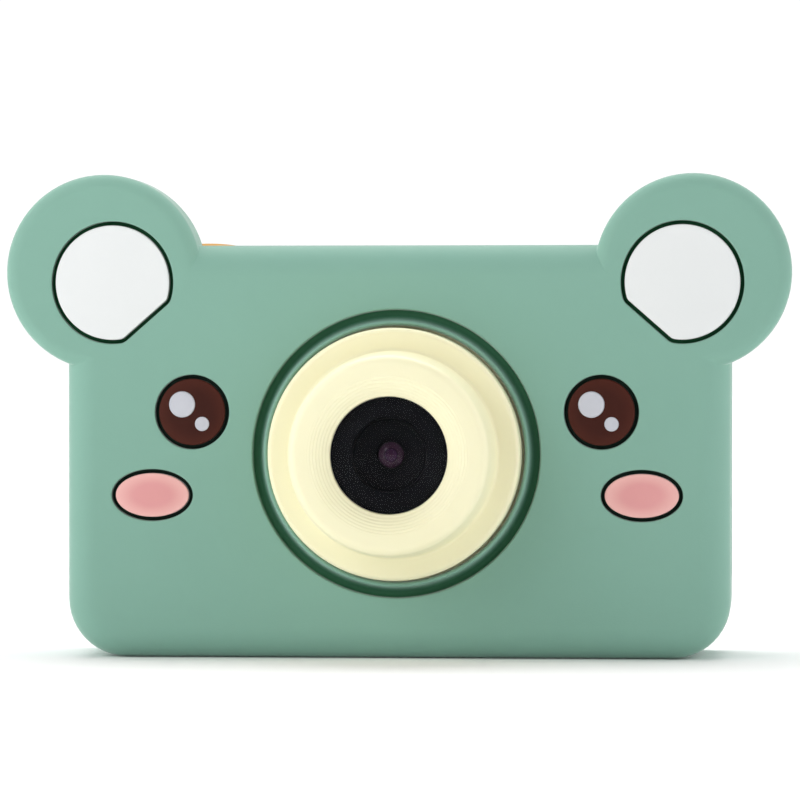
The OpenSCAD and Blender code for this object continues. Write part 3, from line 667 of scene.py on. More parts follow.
# The eye's rim is painted lighter: a painted highlight along its edge
rim_highlight = painted_rim_highlight(tree, shade, EYE_AT, (EYE_R, EYE_R), "#471c11", 0.55)
# Deep in the groove the eye's wall takes a near black: partly print, partly painted shade
lay_print_and_shade(tree, surface, rim_highlight, "ink", BLACK_PRINT_AND_SHADE)
SPOTS = ((-1.4, 1.05, 1.85), (1.4, -1.67, 1.02))
for side, word in ((-1, "left"), (1, "right")):
    inlay_piece(f"ear_inlay_{word}_face", f"ear_inlay_{word}", inlay_ring, side, white,
                crown=0.1)
    inlay_piece(f"cheek_{word}_face", f"cheek_{word}", cheek_ring, side, pink, crown=0.12)
    wells = [(side * EYE_AT[0] + x, EYE_AT[1] + z, r) for x, z, r in SPOTS]
    inlay_piece(f"eye_{word}_face", f"eye_{word}", eye_ring, side, brown,
                inner=wells)

# The light spots are pegs of the white silicone with a slightly domed end
pearl, *_ = moulded("silicone rubber, matt moulded, pearl", "#cccdd5", "#c2c4ce", 0.22, 0.006, SILICONE,
                    patch=3.0, rough=(0.5, 0.6))
PEG_FIT = 0.02
skin = Skin()
for side in (-1, 1):
    for x, z, r in SPOTS:
        dome = [(r * s, FACE - 0.03 * (1 - s * s)) for s in np.linspace(0, 0.94, 8)]
        foot = FACE + WELL_DEEP - 0.01
        skin.turned(dome + [(r - PEG_FIT, FACE + 0.08), (r - PEG_FIT, foot), (0, foot)],
                    side * EYE_AT[0] + x, EYE_AT[1] + z, count=48)
spots_piece = piece("eye_light_spots", skin, "camera", ["eye_highlights"])
spots_piece.data.materials.append(pearl)


# ==============================================================================
# Rigid case. Two shells of cream ABS, injection moulded with a fine satin finish, meet round the
# sides and are held by four cross-head screws from the back. Most of them hides in the sleeve.
# ==============================================================================

def dress(names, finish):
    """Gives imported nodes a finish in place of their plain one."""
    for name in names:
        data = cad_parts[name].data
        data.materials.clear()
        data.materials.append(finish)


# ABS: a smooth satin skin with a faint orange peel, which breaks up highlights softly
ABS = {"Roughness": 0.36, "IOR": 1.52, "Specular IOR Level": 0.4, "Subsurface Weight": 0.05,
       "Subsurface Radius": (1.0, 0.8, 0.5), "Subsurface Scale": 0.5 * MM}
CREAM = ("#f4efcb", "#f1ebc4")
cream, *_ = moulded("ABS, satin moulded, cream", *CREAM, 0.35, 0.005, ABS, patch=12.0, rough=(0.3, 0.44))
dress(["front_shell", "rear_shell"], cream)

# Zinc-plated steel: a cool grey with fine turning marks. Inside the cross of a case screw's head it
# darkens with depth: painted shade.
steel, tree, surface, place = new_material("steel, zinc plated and turned", {"Metallic": 1.0})
HEAD_TOP = node_box("case_screws")[1][1]
marks = add_node(tree, "ShaderNodeTexNoise", {"Scale": 1 / (0.18 * MM), "Detail": 4.0, "Roughness": 0.7},
                 {"Vector": place})
tone = two_shades(tree, surface, "#b9bcc0", "#8e9196", marks.outputs["Fac"])
level = add_node(tree, "ShaderNodeMapRange", {"To Min": 0.22, "To Max": 0.45},
                 {"Value": marks.outputs["Fac"]})
depth_y = add_node(tree, "ShaderNodeSeparateXYZ", links={0: place}).outputs["Y"]
SHADE_FROM, SHADE_FULL = 0.15, 0.35          # depths below the top of the head
# Painted shade: the head darkens with depth into its cross
recess_shade = add_node(tree, "ShaderNodeMapRange", {
    "From Min": (HEAD_TOP - SHADE_FROM) * MM, "From Max": (HEAD_TOP - SHADE_FULL) * MM}, {"Value": depth_y})
shaded_tone = add_node(tree, "ShaderNodeMix", {7: linear("#2b2c2f")}, {0: recess_shade.outputs[0], 6: tone},
                  data_type="RGBA")
tree.links.new(shaded_tone.outputs[2], surface.inputs["Base Color"])
tree.links.new(level.outputs[0], surface.inputs["Roughness"])
dress(["case_screws", "barrel_screws", "board_screws"], steel)


# ==============================================================================
# Lens barrel. One cream ABS moulding in two steps: a wide collar that comes out through the
# sleeve, and a narrower tier with a dished front. Three screws hold it from inside the case.
# ==============================================================================

TIP, FOOT_Y = barrel_low[1], barrel_high[1]
COLLAR_R = barrel_high[0]
COLLAR_Y = FACE - 4.9
WINDOW_R = 8.0
WINDOW_Y = node_box("lens_window")[0][1]
TIER_FOOT_R, TIER_R = 14.3, 13.75


def round_corner(r, y, size, start, end, steps=7):
    """Points of an arc in the profile plane round r, y. Angles in degrees, from outward to the front."""
    a = np.radians(np.linspace(start, end, steps))
    return [(r + size * c, y - size * s) for c, s in zip(np.cos(a), np.sin(a))]


RIM, COLLAR_EDGE, INNER_EDGE = 1.3, 0.7, 0.5
skin = Skin()
profile = [(COLLAR_R, FOOT_Y), (COLLAR_R, COLLAR_Y + COLLAR_EDGE + 0.2)]
profile += round_corner(COLLAR_R - COLLAR_EDGE, COLLAR_Y + COLLAR_EDGE, COLLAR_EDGE, 0, 90)
profile += [(COLLAR_R - COLLAR_EDGE - 0.1, COLLAR_Y)]
profile += round_corner(TIER_FOOT_R + INNER_EDGE, COLLAR_Y - INNER_EDGE, INNER_EDGE, -90, -180)
profile += [(TIER_FOOT_R - 0.02, COLLAR_Y - INNER_EDGE - 0.1), (TIER_R + 0.02, TIP + RIM + 0.1)]
profile += round_corner(TIER_R - RIM, TIP + RIM, RIM, 2, 90, 12)
# The front is flat to r = 11.2, then dished: a falling curve with fine steps, about 0.42 mm apart
DISH_R, DISH_STEP, DISH_RIPPLE = 11.2, 0.42, 0.022
dish_r = np.linspace(DISH_R, WINDOW_R + 0.1, 60)
fall = (DISH_R - dish_r) / (DISH_R - WINDOW_R - 0.1)
dish_y = TIP + (WINDOW_Y - TIP - 0.25) * (1 - np.cos(fall * math.pi / 2)) + DISH_RIPPLE * np.sin(
    2 * math.pi * dish_r / DISH_STEP) * np.minimum(1, fall * 6)
profile += list(zip(dish_r, dish_y))
# Inside: the tube that holds the lens, then the hollow tier and collar behind it
TUBE_DEEP, TUBE_R, INSIDE_R, INSIDE_WALL = 6.9, 9.4, 15.9, 1.6
profile += [(WINDOW_R + 0.06, WINDOW_Y - 0.15), (WINDOW_R + 0.05, WINDOW_Y + TUBE_DEEP),
            (TUBE_R, WINDOW_Y + TUBE_DEEP), (TUBE_R, WINDOW_Y + INSIDE_WALL), (12.0, WINDOW_Y + 0.6),
            (12.5, COLLAR_Y + INSIDE_WALL), (INSIDE_R, COLLAR_Y + INSIDE_WALL), (INSIDE_R, FOOT_Y),
            (COLLAR_R, FOOT_Y)]
skin.turned(profile, 0, LENS_Z, count=160)
barrel = piece("barrel", skin, "camera", ["lens_barrel"], sharp=42)
cream_barrel, *_ = moulded("ABS, fine satin moulded, pale cream", "#f9f4d0", "#f6f0c9", 0.35, 0.004,
                           ABS | {"Roughness": 0.4}, patch=14.0, rough=(0.34, 0.46))
barrel.data.materials.append(cream_barrel)


# ==============================================================================
# Lens. A clear acrylic window closes the barrel. Behind it a matt black ring with two steps
# hides the glue and stops stray light, and the small coated lens sits at its bottom.
# ==============================================================================

BEZEL_Y = node_box("lens_bezel")[0][1]
RING_R, RING_BACK = WINDOW_R - 0.02, BEZEL_Y + 5.5
STEP_R, STEP_ROUND, BORE_R, BORE_BACK = 5.35, 0.25, 4.4, BEZEL_Y + 4.5
THROAT_R = 1.82
skin = Skin()
profile = [(RING_R, RING_BACK), (RING_R, BEZEL_Y + 0.02), (STEP_R, BEZEL_Y + 0.02)]
profile += round_corner(STEP_R, BEZEL_Y + 0.02 + STEP_ROUND, STEP_ROUND, 90, 180, 5)
profile += [(4.95, BEZEL_Y + 1.5), (4.85, BEZEL_Y + 1.62), (BORE_R, BEZEL_Y + 1.68)]
# The baffle: a cone with eight fine ridges, which narrows to the throat in front of the lens
CONE_R, CONE_IN, CONE_Y, CONE_DEEP, RIDGES, RIDGE = 4.35, 2.25, BEZEL_Y + 1.7, 1.5, 8, 0.03
profile += [(CONE_R - CONE_IN * t, CONE_Y + CONE_DEEP * t + RIDGE * math.sin(t * 2 * math.pi * RIDGES))
            for t in np.linspace(0, 1, 41)]
profile += [(1.95, BEZEL_Y + 3.3), (THROAT_R, BEZEL_Y + 3.45), (THROAT_R, BORE_BACK), (BORE_R, BORE_BACK),
            (BORE_R, RING_BACK), (RING_R, RING_BACK)]
skin.turned(profile, 0, LENS_Z, count=128)
bezel = piece("lens_ring", skin, "camera", ["lens_bezel"], sharp=42)
# Matt black polycarbonate: almost no colour of its own, a soft grey sheen where light grazes it
black_lens, *_ = moulded("polycarbonate, matt black", "#121318", "#0f1014", 0.2, 0.006,
                         {"IOR": 1.58, "Specular IOR Level": 0.08}, patch=4.0, rough=(0.48, 0.62))
bezel.data.materials.append(black_lens)

window_skin = Skin()
WINDOW_BACK = node_box("lens_window")[1][1]
window_skin.turned([(0, WINDOW_Y), (WINDOW_R - 0.25, WINDOW_Y), (WINDOW_R - 0.07, WINDOW_Y + 0.08),
                    (WINDOW_R - 0.01, WINDOW_Y + 0.25), (WINDOW_R - 0.01, WINDOW_BACK), (0, WINDOW_BACK)],
                   0, LENS_Z, count=128)
window = piece("lens_cover_window", window_skin, "camera", ["lens_window"])


def clear_plastic(name, light, dark, index, smear):
    """A see-through plastic: two near tints and a faint smear, up to a roughness, drift over 3 mm patches."""
    made, tree, surface, place = new_material(name, {"Transmission Weight": 1.0, "IOR": index})
    two_shades(tree, surface, light, dark, uneven(tree, surface, place, 3, 0.0, smear))
    return made


# Acrylic with an anti-reflection coating: nearly invisible. Its index is set near air's, because the
# coating takes away almost all that the bare plastic would reflect
window.data.materials.append(clear_plastic("acrylic, coated, clear", "#f2f3f4", "#e9ebee", 1.1, 0.02))

glass_low, glass_high = node_box("lens_element")
GLASS_R = (glass_high - glass_low)[0] / 2
skin = Skin()
DOME = 3.2
across = np.linspace(0, 1, 20) * GLASS_R
bulge = [(r, glass_low[1] + DOME - math.sqrt(DOME ** 2 - r ** 2)) for r in across]
skin.turned(bulge + [(GLASS_R, glass_high[1]), (0, glass_high[1])], 0, LENS_Z, count=72)
lens = piece("front_lens", skin, "camera", ["lens_element"])
# Coated optical glass: a painted reflection of the coating's dim purple, brighter in the middle than at the
# rim
coated, tree, surface, place = new_material("optical glass, purple coating", {
    "Roughness": 0.16, "IOR": 1.6, "Specular IOR Level": 0.12})
centred = add_node(tree, "ShaderNodeVectorMath", {1: (0, 0, -LENS_Z * MM)}, {0: place}, operation="ADD")
ring_only = add_node(tree, "ShaderNodeVectorMath", {1: (1, 0, 1)}, {0: centred.outputs[0]},
                     operation="MULTIPLY")
away = add_node(tree, "ShaderNodeVectorMath", links={0: ring_only.outputs[0]}, operation="LENGTH")
share = add_node(tree, "ShaderNodeMapRange", {"From Max": GLASS_R * MM}, {"Value": away.outputs["Value"]})
painted_reflection_zones = add_node(tree, "ShaderNodeValToRGB", links={"Fac": share.outputs[0]})
painted_reflection_zones.color_ramp.elements[0].color, painted_reflection_zones.color_ramp.elements[1].color = linear("#472840"), linear("#42303e")
for at, code in ((0.42, "#442644"), (0.5, "#2c1a2c"), (0.6, "#472d3f"), (0.92, "#443040")):
    painted_reflection_zones.color_ramp.elements.new(at).color = linear(code)
tree.links.new(painted_reflection_zones.outputs["Color"], surface.inputs["Base Color"])
lens.data.materials.append(coated)

dress(["lens_tube", "sensor_housing", "tact_switches", "speaker", "usb_tongue", "board_chips"],
      moulded("glass-filled nylon, black", "#26272a", "#1d1e21", 0.15, 0.01,
              {"Roughness": 0.5, "IOR": 1.53, "Specular IOR Level": 0.4}, patch=3.0, rough=(0.4, 0.6))[0])


# ==============================================================================
# Top buttons. The orange shutter button and the small cream power button are ABS caps with a
# hidden flange and a stem that rests on a switch. Both stand in holes in the shell and sleeve.
# ==============================================================================

STEM_R = 1.5
TOP_WALL, FLANGE_LOW, FLANGE_THICK, SHOULDER = 2.0, 1.1, 0.9, 0.7


def button(name, node, body, at, r, finish, dish):
    """A turned cap: flange, skirt, rounded shoulder, then a top that rises by dish as 1 - s^2."""
    low, high = node_box(node)
    flange = rear_high[2] - TOP_WALL - FLANGE_LOW
    top = high[2] - max(dish, 0)
    profile = [(0, low[2]), (STEM_R, low[2]), (STEM_R, flange), (r + FLANGE, flange),
               (r + FLANGE, flange + FLANGE_THICK), (r, flange + FLANGE_THICK)]
    profile += [(r - SHOULDER + SHOULDER * math.cos(a), top - SHOULDER + SHOULDER * math.sin(a))
                for a in QUARTER]
    profile += [((r - SHOULDER) * s, top + dish * (1 - s * s)) for s in np.linspace(1, 0, 12)[1:]]
    skin = Skin()
    skin.turned(profile, *at, axis=2, count=72)
    made = piece(name, skin, body, [node], sharp=42)
    made.data.materials.append(finish)


ORANGE, KEY_CREAM = ("#f0b35a", "#ecab4e"), ("#fbf7e6", "#f7f2dd")
orange, *_ = moulded("ABS, satin moulded, warm orange", *ORANGE, 0.35, 0.005, ABS, patch=5.0,
                     rough=(0.28, 0.42))
key_cream, *_ = moulded("ABS, satin moulded, key cream", *KEY_CREAM, 0.3, 0.005, ABS, patch=5.0,
                        rough=(0.3, 0.44))
button("shutter_cap", "shutter_button", "shutter", shutter_at, shutter_r, orange, 0.35)
button("power_cap", "power_button", "power", power_at, power_r, key_cream, -0.2)


# ==============================================================================
# Keys on the back. Four arrow keys round an orange OK key, and two round keys above them: menu
# and play. Each is a cream ABS cap with a sunk, grey-printed mark, on a flange inside the shell.
# ==============================================================================

KEY_TOP = node_box("ok_key")[1][1]
ok_low, ok_high = node_box("ok_key")
pad = ((ok_low + ok_high) / 2)[[0, 2]]
WALL_IN = BACK - LIP_THICK - 2
FLANGE_Y = (WALL_IN - 1.0, WALL_IN - 0.2)
ARROW = (5.6, 10.4)
ARROW_HALF = math.radians(36)
MARK_DEEP = 0.22
KEY_FLANGE, KEY_STEM_R = 0.6, 1.4


def arrow_ring(turn, grow=0.0, corner=0.9):
    """A piece of a wide ring. Each corner arc touches the inner or outer arc and a straight end."""
    low, high = ARROW[0] - grow, ARROW[1] + grow
    c = corner + grow
    half = ARROW_HALF + grow / 8
    tilt_out = half - math.asin(c / (high - c))
    tilt_in = half - math.asin(c / (low + c))
    spot_out = (high - c) * np.array([math.cos(tilt_out), math.sin(tilt_out)])
    spot_in = (low + c) * np.array([math.cos(tilt_in), math.sin(tilt_in)])
    ring = np.concatenate([
        sweep([0, 0], high, -tilt_out, tilt_out, 24),
        sweep(spot_out, c, tilt_out, half + math.pi / 2, 7),
        sweep(spot_in, c, half + math.pi / 2, math.pi + tilt_in, 7),
        sweep([0, 0], low, tilt_in, -tilt_in, 16),
        sweep(spot_in * [1, -1], c, math.pi - tilt_in, 1.5 * math.pi - half, 7),
        sweep(spot_out * [1, -1], c, -half - math.pi / 2, -tilt_out, 7)])
    cos, sin = math.cos(turn), math.sin(turn)
    return ring @ np.array([[cos, sin], [-sin, cos]]) + pad


def mark_triangle(centre, size, turn):
    """A small triangle with blunt corners that points along turn."""
    spots = []
    for k in range(3):
        a = turn + k * 2 * math.pi / 3
        tip = np.array([math.cos(a), math.sin(a)]) * size * 0.75
        spots.append(sweep(tip, size * 0.25, a - math.pi / 3, a + math.pi / 3, 6))
    return np.concatenate(spots) + centre


def key(word, ring_of, slot, finish, marks, stem, shoulder=0.55):
    """A keycap: stem, flange, skirt and rounded shoulder, then a flat top with sunk marks."""
    skin = Skin()
    low = node_box(f"{word}_key")[0][1]
    ring, flange = ring_of(0.0), ring_of(KEY_FLANGE)
    stem_ring = circle_ring(*stem, KEY_STEM_R, 32)
    loops = [at_depth(flange, FLANGE_Y[0]), at_depth(flange, FLANGE_Y[1]), at_depth(ring, FLANGE_Y[1]),
             at_depth(ring, KEY_TOP - shoulder - 0.1)]
    loops += rounded_edge(ring, shoulder, KEY_TOP, -1)
    skin.rings(loops)
    skin.sheet(flange, [stem_ring], lambda p: at_depth(p, FLANGE_Y[0]))
    skin.rings([at_depth(stem_ring, low), at_depth(stem_ring, FLANGE_Y[0])])
    skin.sheet(stem_ring, [], lambda p: at_depth(p, low))
    skin.sheet(grown(ring, -shoulder), marks, lambda p: at_depth(p, KEY_TOP))
    for mark in marks:
        skin.rings([at_depth(mark, KEY_TOP), at_depth(grown(mark, -0.05), KEY_TOP - MARK_DEEP)])
        skin.sheet(grown(mark, -0.05), [], lambda p: at_depth(p, KEY_TOP - MARK_DEEP))
    made = piece(f"{word}_cap", skin, word, [f"{word}_key"], sharp=42)
    points = mesh_points(made)
    sunk = np.zeros(len(points), bool)
    for mark in marks:
        sunk |= inside(points[:, [0, 2]], grown(mark, 0.03))
    sunk &= points[:, 1] > KEY_TOP - 0.3
    set_attribute(made, "print", ramp(KEY_TOP - points[:, 1], 0.02, 0.1) * sunk)
    made.data.materials.append(finish)


# The marks are pad-printed in warm grey into their wells
key_finish, tree, surface, shade = moulded("ABS, satin moulded, printed key", *KEY_CREAM, 0.3, 0.005, ABS,
                                           patch=5.0, rough=(0.3, 0.44))
lay_print_and_shade(tree, surface, shade, "print", "#6d7a74")
ok_finish, tree, surface, shade = moulded("ABS, satin moulded, printed orange key", *ORANGE, 0.3, 0.005, ABS,
                                          patch=5.0, rough=(0.3, 0.44))
lay_print_and_shade(tree, surface, shade, "print", "#fff4dc")
PAD_R = 8.0
for name, turn in (("right", 0), ("up", 90), ("left", 180), ("down", 270)):
    a = math.radians(turn)
    centre = pad + PAD_R * np.array([math.cos(a), math.sin(a)])
    key(name, lambda grow, a=a: arrow_ring(a, grow), "abs_cream", key_finish,
        [mark_triangle(centre, 0.95, a)], centre)
OK_R, ROUND_R = 3.9, 3.0
WIDER = 7 / 6                            # a round key's flange is wider than an arrow key's
key("ok", lambda grow: circle_ring(*pad, OK_R + grow * WIDER, 72), "abs_orange", ok_finish,
    [circle_ring(*pad, 1.1, 32)], pad, shoulder=0.8)
for name in ("menu", "play"):
    low, high = node_box(f"{name}_key")
    at = ((low + high) / 2)[[0, 2]]
    marks = [mark_triangle(at, 1.3, math.pi)] if name == "play" else [
        box_ring(at[0], at[1] + step, 2.6, 0.42, 0.2, 4) for step in (-0.9, 0, 0.9)]
    key(name, lambda grow, at=at: circle_ring(*at, ROUND_R + grow * WIDER, 64), "abs_cream", key_finish,
        marks, at)
dress([f"{n}_plunger" for n in ("shutter", "power", "up", "down", "left", "right", "ok", "menu", "play")],
      moulded("acetal, ivory", "#ece7da", "#e2dccb", 0.2, 0.005, {"IOR": 1.48}, patch=2.0,
              rough=(0.35, 0.5))[0])


# ==============================================================================
# Screen. A polished acrylic cover, printed black round its edge from behind, is glued into the
# rear shell. Behind it lies the display: a glass panel in a pressed steel tray, with a flex tail.
# ==============================================================================

pane_low, pane_high = node_box("screen_window")
pane_at = ((pane_low + pane_high) / 2)[[0, 2]]
PANE_CORNER, PANE_EDGE, PRINT_THICK = 2.0, 0.25, 0.06
VIEW_SIZE = (40.4, 30.4)
pane_ring = box_ring(*pane_at, *(pane_high - pane_low)[[0, 2]], PANE_CORNER)
view_ring = box_ring(*pane_at, *VIEW_SIZE, 0.8)
print_top = pane_low[1] + PRINT_THICK

skin = Skin()
skin.rings([at_depth(pane_ring, print_top + 0.01)] + rounded_edge(pane_ring, PANE_EDGE, pane_high[1], -1))
skin.sheet(pane_ring, [], lambda p: at_depth(p, print_top + 0.01))
skin.sheet(grown(pane_ring, -PANE_EDGE), [], lambda p: at_depth(p, pane_high[1]))
pane = piece("screen_cover", skin, "camera", ["screen_window"])
# Hard-coated acrylic: clear, glossy, with faint smears from fingers
pane.data.materials.append(clear_plastic("acrylic, hard coated, clear", "#eef0f1", "#e6e9eb", 1.3, 0.03))

skin = Skin()
rim = grown(pane_ring, -0.05)
for ring in (rim, view_ring):
    skin.rings([at_depth(ring, pane_low[1]), at_depth(ring, print_top)])
for y in (pane_low[1], print_top):
    skin.sheet(rim, [view_ring], lambda p, y=y: at_depth(p, y))
border = piece("screen_border_print", skin, "camera")
border.data.materials.append(moulded("screen ink, black", "#0c0d0e", "#090a0b", 0.12, 0.003,
                                     {"IOR": 1.5, "Specular IOR Level": 0.1}, patch=3.0,
                                     rough=(0.35, 0.5))[0])


# Display glass, unlit: almost black. Its coloured dots are 0.15 mm apart and are drawn at 0.3 mm so that
# they show
display, tree, surface, place = new_material("display glass, unlit", {
    "IOR": 1.52, "Specular IOR Level": 0.12})
facing = add_node(tree, "ShaderNodeMapping", {"Rotation": (math.pi / 2, 0, 0)}, {"Vector": place})
dots = add_node(tree, "ShaderNodeTexBrick", {
    "Color1": linear("#15181d"), "Color2": linear("#121519"), "Mortar": linear("#090b0d"),
    "Scale": 1 / (0.3 * MM), "Mortar Size": 0.08, "Brick Width": 1.0, "Row Height": 1.0},
    {"Vector": facing.outputs[0]}, offset=0.0)
tree.links.new(dots.outputs["Color"], surface.inputs["Base Color"])
uneven(tree, surface, place, 8, 0.1, 0.2)
dress(["display_panel"], display)

# Stainless steel sheet, pressed: a soft grey with a rolling grain along its length, about 0.05 mm apart,
# drawn at 0.2 mm
pressed, tree, surface, place = new_material("stainless steel, pressed sheet", {"Metallic": 1.0})
drawn = add_node(tree, "ShaderNodeMapping", {"Scale": (0.08, 1, 1)}, {"Vector": place})
grain = uneven(tree, surface, drawn.outputs[0], 0.2, 0.25, 0.42)
two_shades(tree, surface, "#c6c8ca", "#a5a8ac", grain)
dress(["display_frame", "usb_socket", "card_socket"], pressed)


def bands(tree, place, pitch, direction):
    """Even stripes with a pitch in mm: the Wave node repeats every 2 pi / (20 scale)."""
    return add_node(tree, "ShaderNodeTexWave", {"Scale": 2 * math.pi / (20 * pitch * MM)}, {"Vector": place},
                    bands_direction=direction).outputs["Fac"]


# Polyimide film: clear amber, with copper tracks 0.5 mm apart that show through it
film, tree, surface, place = new_material("polyimide film, amber", {"IOR": 1.7, "Coat Weight": 0.3})
two_shades(tree, surface, "#c07a28", "#8f4f1a", bands(tree, place, 0.5, "X"))
uneven(tree, surface, place, 2, 0.22, 0.38)
dress(["display_flex", "camera_flex"], film)


# ==============================================================================
# Boards. The main, top and sensor boards are glass epoxy under green solder mask, with the tracks
# raised a little below it. The image sensor is bare silicon under a thin glass lid.
# ==============================================================================

# Solder mask: deep green gloss. Tracks show lighter, 0.8 mm apart, and small tinned dots lie 3 mm apart
mask, tree, surface, place = new_material("glass epoxy, green solder mask", {"IOR": 1.55, "Coat Weight": 0.2})
bend = add_node(tree, "ShaderNodeTexNoise", {"Scale": 1 / (9 * MM), "Detail": 0.0}, {"Vector": place})
bent = add_node(tree, "ShaderNodeVectorMath", {1: (4 * MM,) * 3}, {0: bend.outputs["Color"], 2: place},
                operation="MULTIPLY_ADD")
track = add_node(tree, "ShaderNodeMapRange", {"From Min": 0.55, "From Max": 0.7},
                 {"Value": bands(tree, bent.outputs[0], 0.8, "Z")})
green = two_shades(tree, surface, "#14432c", "#1f5f3d", track.outputs[0])
dots = add_node(tree, "ShaderNodeTexVoronoi", {"Scale": 1 / (3 * MM)}, {"Vector": place})
tinned = add_node(tree, "ShaderNodeMapRange", {"From Min": 0.14, "From Max": 0.1},
                  {"Value": dots.outputs["Distance"]})
face = add_node(tree, "ShaderNodeMix", {7: linear("#c2c4c2")}, {0: tinned.outputs[0], 6: green},
                data_type="RGBA")
lift = add_node(tree, "ShaderNodeBump", {"Distance": 0.035 * MM}, {"Height": track.outputs[0]})
tree.links.new(face.outputs[2], surface.inputs["Base Color"])
tree.links.new(lift.outputs[0], surface.inputs["Normal"])
uneven(tree, surface, place, 4, 0.24, 0.36)
dress(["main_board", "top_board", "sensor_board"], mask)

# Silicon under glass: a dark mirror whose tint drifts from blue-green to violet over about 1.5 mm
silicon, tree, surface, place = new_material("silicon under glass", {
    "Metallic": 0.4, "IOR": 1.52, "Coat Weight": 1.0, "Coat Roughness": 0.03})
drift = uneven(tree, surface, place, 1.5, 0.1, 0.2)
two_shades(tree, surface, "#27505a", "#4b3a68", drift)
dress(["image_sensor"], silicon)


# ==============================================================================
# Battery, sound and light. A flat lithium cell in an aluminium pouch rests on a foam pad, with two
# soldered leads. The microphone is a small plated can, and a clear pin carries the status light.
# ==============================================================================

# Aluminium laminate: satin silver with shallow dents 3 mm wide, amber tape folded over its top edge
cell_top = node_box("battery")[1][2]
TAPE_LONG = 3.0
pouch, tree, surface, place = new_material("aluminium laminate, satin", {"Metallic": 0.85})
dents = uneven(tree, surface, place, 3, 0.34, 0.5)
apart = add_node(tree, "ShaderNodeSeparateXYZ", links={0: place})
tape = add_node(tree, "ShaderNodeMapRange", {
    "From Min": (cell_top - TAPE_LONG - 0.1) * MM, "From Max": (cell_top - TAPE_LONG) * MM},
    {"Value": apart.outputs["Z"]})
two_shades(tree, surface, "#bcbec2", "#b8792c", tape.outputs[0])
lift = add_node(tree, "ShaderNodeBump", {"Distance": 0.12 * MM}, {"Height": dents})
tree.links.new(lift.outputs[0], surface.inputs["Normal"])
dress(["battery"], pouch)

# Closed-cell foam: dull black, with cells about 0.4 mm across
foam, tree, surface, place = new_material("polyethylene foam, black", {
    "IOR": 1.45, "Specular IOR Level": 0.2})
cells = add_node(tree, "ShaderNodeTexVoronoi", {"Scale": 1 / (0.4 * MM)}, {"Vector": place})
two_shades(tree, surface, "#1c1c1d", "#39393a", cells.outputs["Distance"])
lift = add_node(tree, "ShaderNodeBump", {"Distance": 0.1 * MM}, {"Height": cells.outputs["Distance"]})
tree.links.new(lift.outputs[0], surface.inputs["Normal"])
uneven(tree, surface, place, 1, 0.8, 0.95)
dress(["battery_foam"], foam)

# PVC wire skin: one lead red and one black, told apart by the side that each is on
wires_low, wires_high = node_box("battery_leads")
between = (wires_low[0] + wires_high[0]) / 2
wire, tree, surface, place = new_material("soft PVC, wire skin", {"IOR": 1.53, "Specular IOR Level": 0.4})
apart = add_node(tree, "ShaderNodeSeparateXYZ", links={0: place})
side_of = add_node(tree, "ShaderNodeMapRange", {
    "From Min": (between - 0.1) * MM, "From Max": (between + 0.1) * MM}, {"Value": apart.outputs["X"]})
two_shades(tree, surface, "#b3262a", "#1b1b1d", side_of.outputs[0])
uneven(tree, surface, place, 1.5, 0.35, 0.5)
dress(["battery_leads"], wire)

# Nickel-plated brass: a warm bright grey with fine drawing marks
can, tree, surface, place = new_material("brass, nickel plated", {"Metallic": 1.0})
marks = uneven(tree, surface, place, 0.2, 0.2, 0.35)
two_shades(tree, surface, "#d2c7a6", "#b3a277", marks)
dress(["microphone"], can)

# Polystyrene: a slightly milky light pipe
dress(["status_light"], clear_plastic("polystyrene, milky clear", "#f3f1ea", "#e4e2da", 1.59, 0.3))


# ==============================================================================
# Memory card. A standard 15 x 11 mm card of moulded black epoxy. Eight gold-plated contacts lie
# side by side near its inner end, on the side that faces the board.
# ==============================================================================

card_low, card_high = node_box("memory_card")
CONTACT_PITCH, CONTACT_FROM, CONTACT_TO = 1.1, 0.7, 3.5
card, tree, surface, place = new_material("epoxy, moulded black, gold contacts", {"IOR": 1.55})
apart = add_node(tree, "ShaderNodeSeparateXYZ", links={0: place})
limits = [add_node(tree, "ShaderNodeMapRange", {"From Min": at * MM, "From Max": (at + soft) * MM},
                   {"Value": apart.outputs[axis]})
          for axis, at, soft in (("X", card_low[0] + CONTACT_FROM, 0.05),
                                 ("X", card_low[0] + CONTACT_TO, -0.05), ("Y", card_high[1] - 0.06, 0.02))]
stripe = add_node(tree, "ShaderNodeMapRange", {"From Min": 0.3, "From Max": 0.4},
                  {"Value": bands(tree, place, CONTACT_PITCH, "Z")})
gold = stripe.outputs[0]
for limit in limits:
    both = add_node(tree, "ShaderNodeMath", links={0: gold, 1: limit.outputs[0]}, operation="MULTIPLY")
    gold = both.outputs[0]
fine = uneven(tree, surface, place, 0.3, 0.35, 0.55)
epoxy = two_shades(tree, surface, "#1f2023", "#17181a", fine)
tone = add_node(tree, "ShaderNodeMix", {7: linear("#d9b04e")}, {0: gold, 6: epoxy}, data_type="RGBA")
tree.links.new(tone.outputs[2], surface.inputs["Base Color"])
tree.links.new(gold, surface.inputs["Metallic"])
dress(["memory_card"], card)


# ==============================================================================
# Port cover. A flap in the sleeve's colour closes the USB socket and the card slot. It is moulded
# in soft-touch plastic, with a knuckle on its rear edge whose two pegs turn in lugs on the shell.
# ==============================================================================

PEG_R, PEG_LONG = 0.6, 1.1
FLAP_HALF, FLAP_WIDE, FLAP_OUT, FLAP_IN, FLAP_END = 0.7, 6.9, 0.45, 0.25, 0.18
flap_z = np.array([cover_low[2] + PEG_LONG, cover_high[2] - PEG_LONG])
flap_mid = 27.5
inner_x, outer_x = knuckle[0] - FLAP_HALF, knuckle[0] + FLAP_HALF
free = knuckle[1] - FLAP_WIDE
meet = math.acos(FLAP_HALF / KNUCKLE_R)
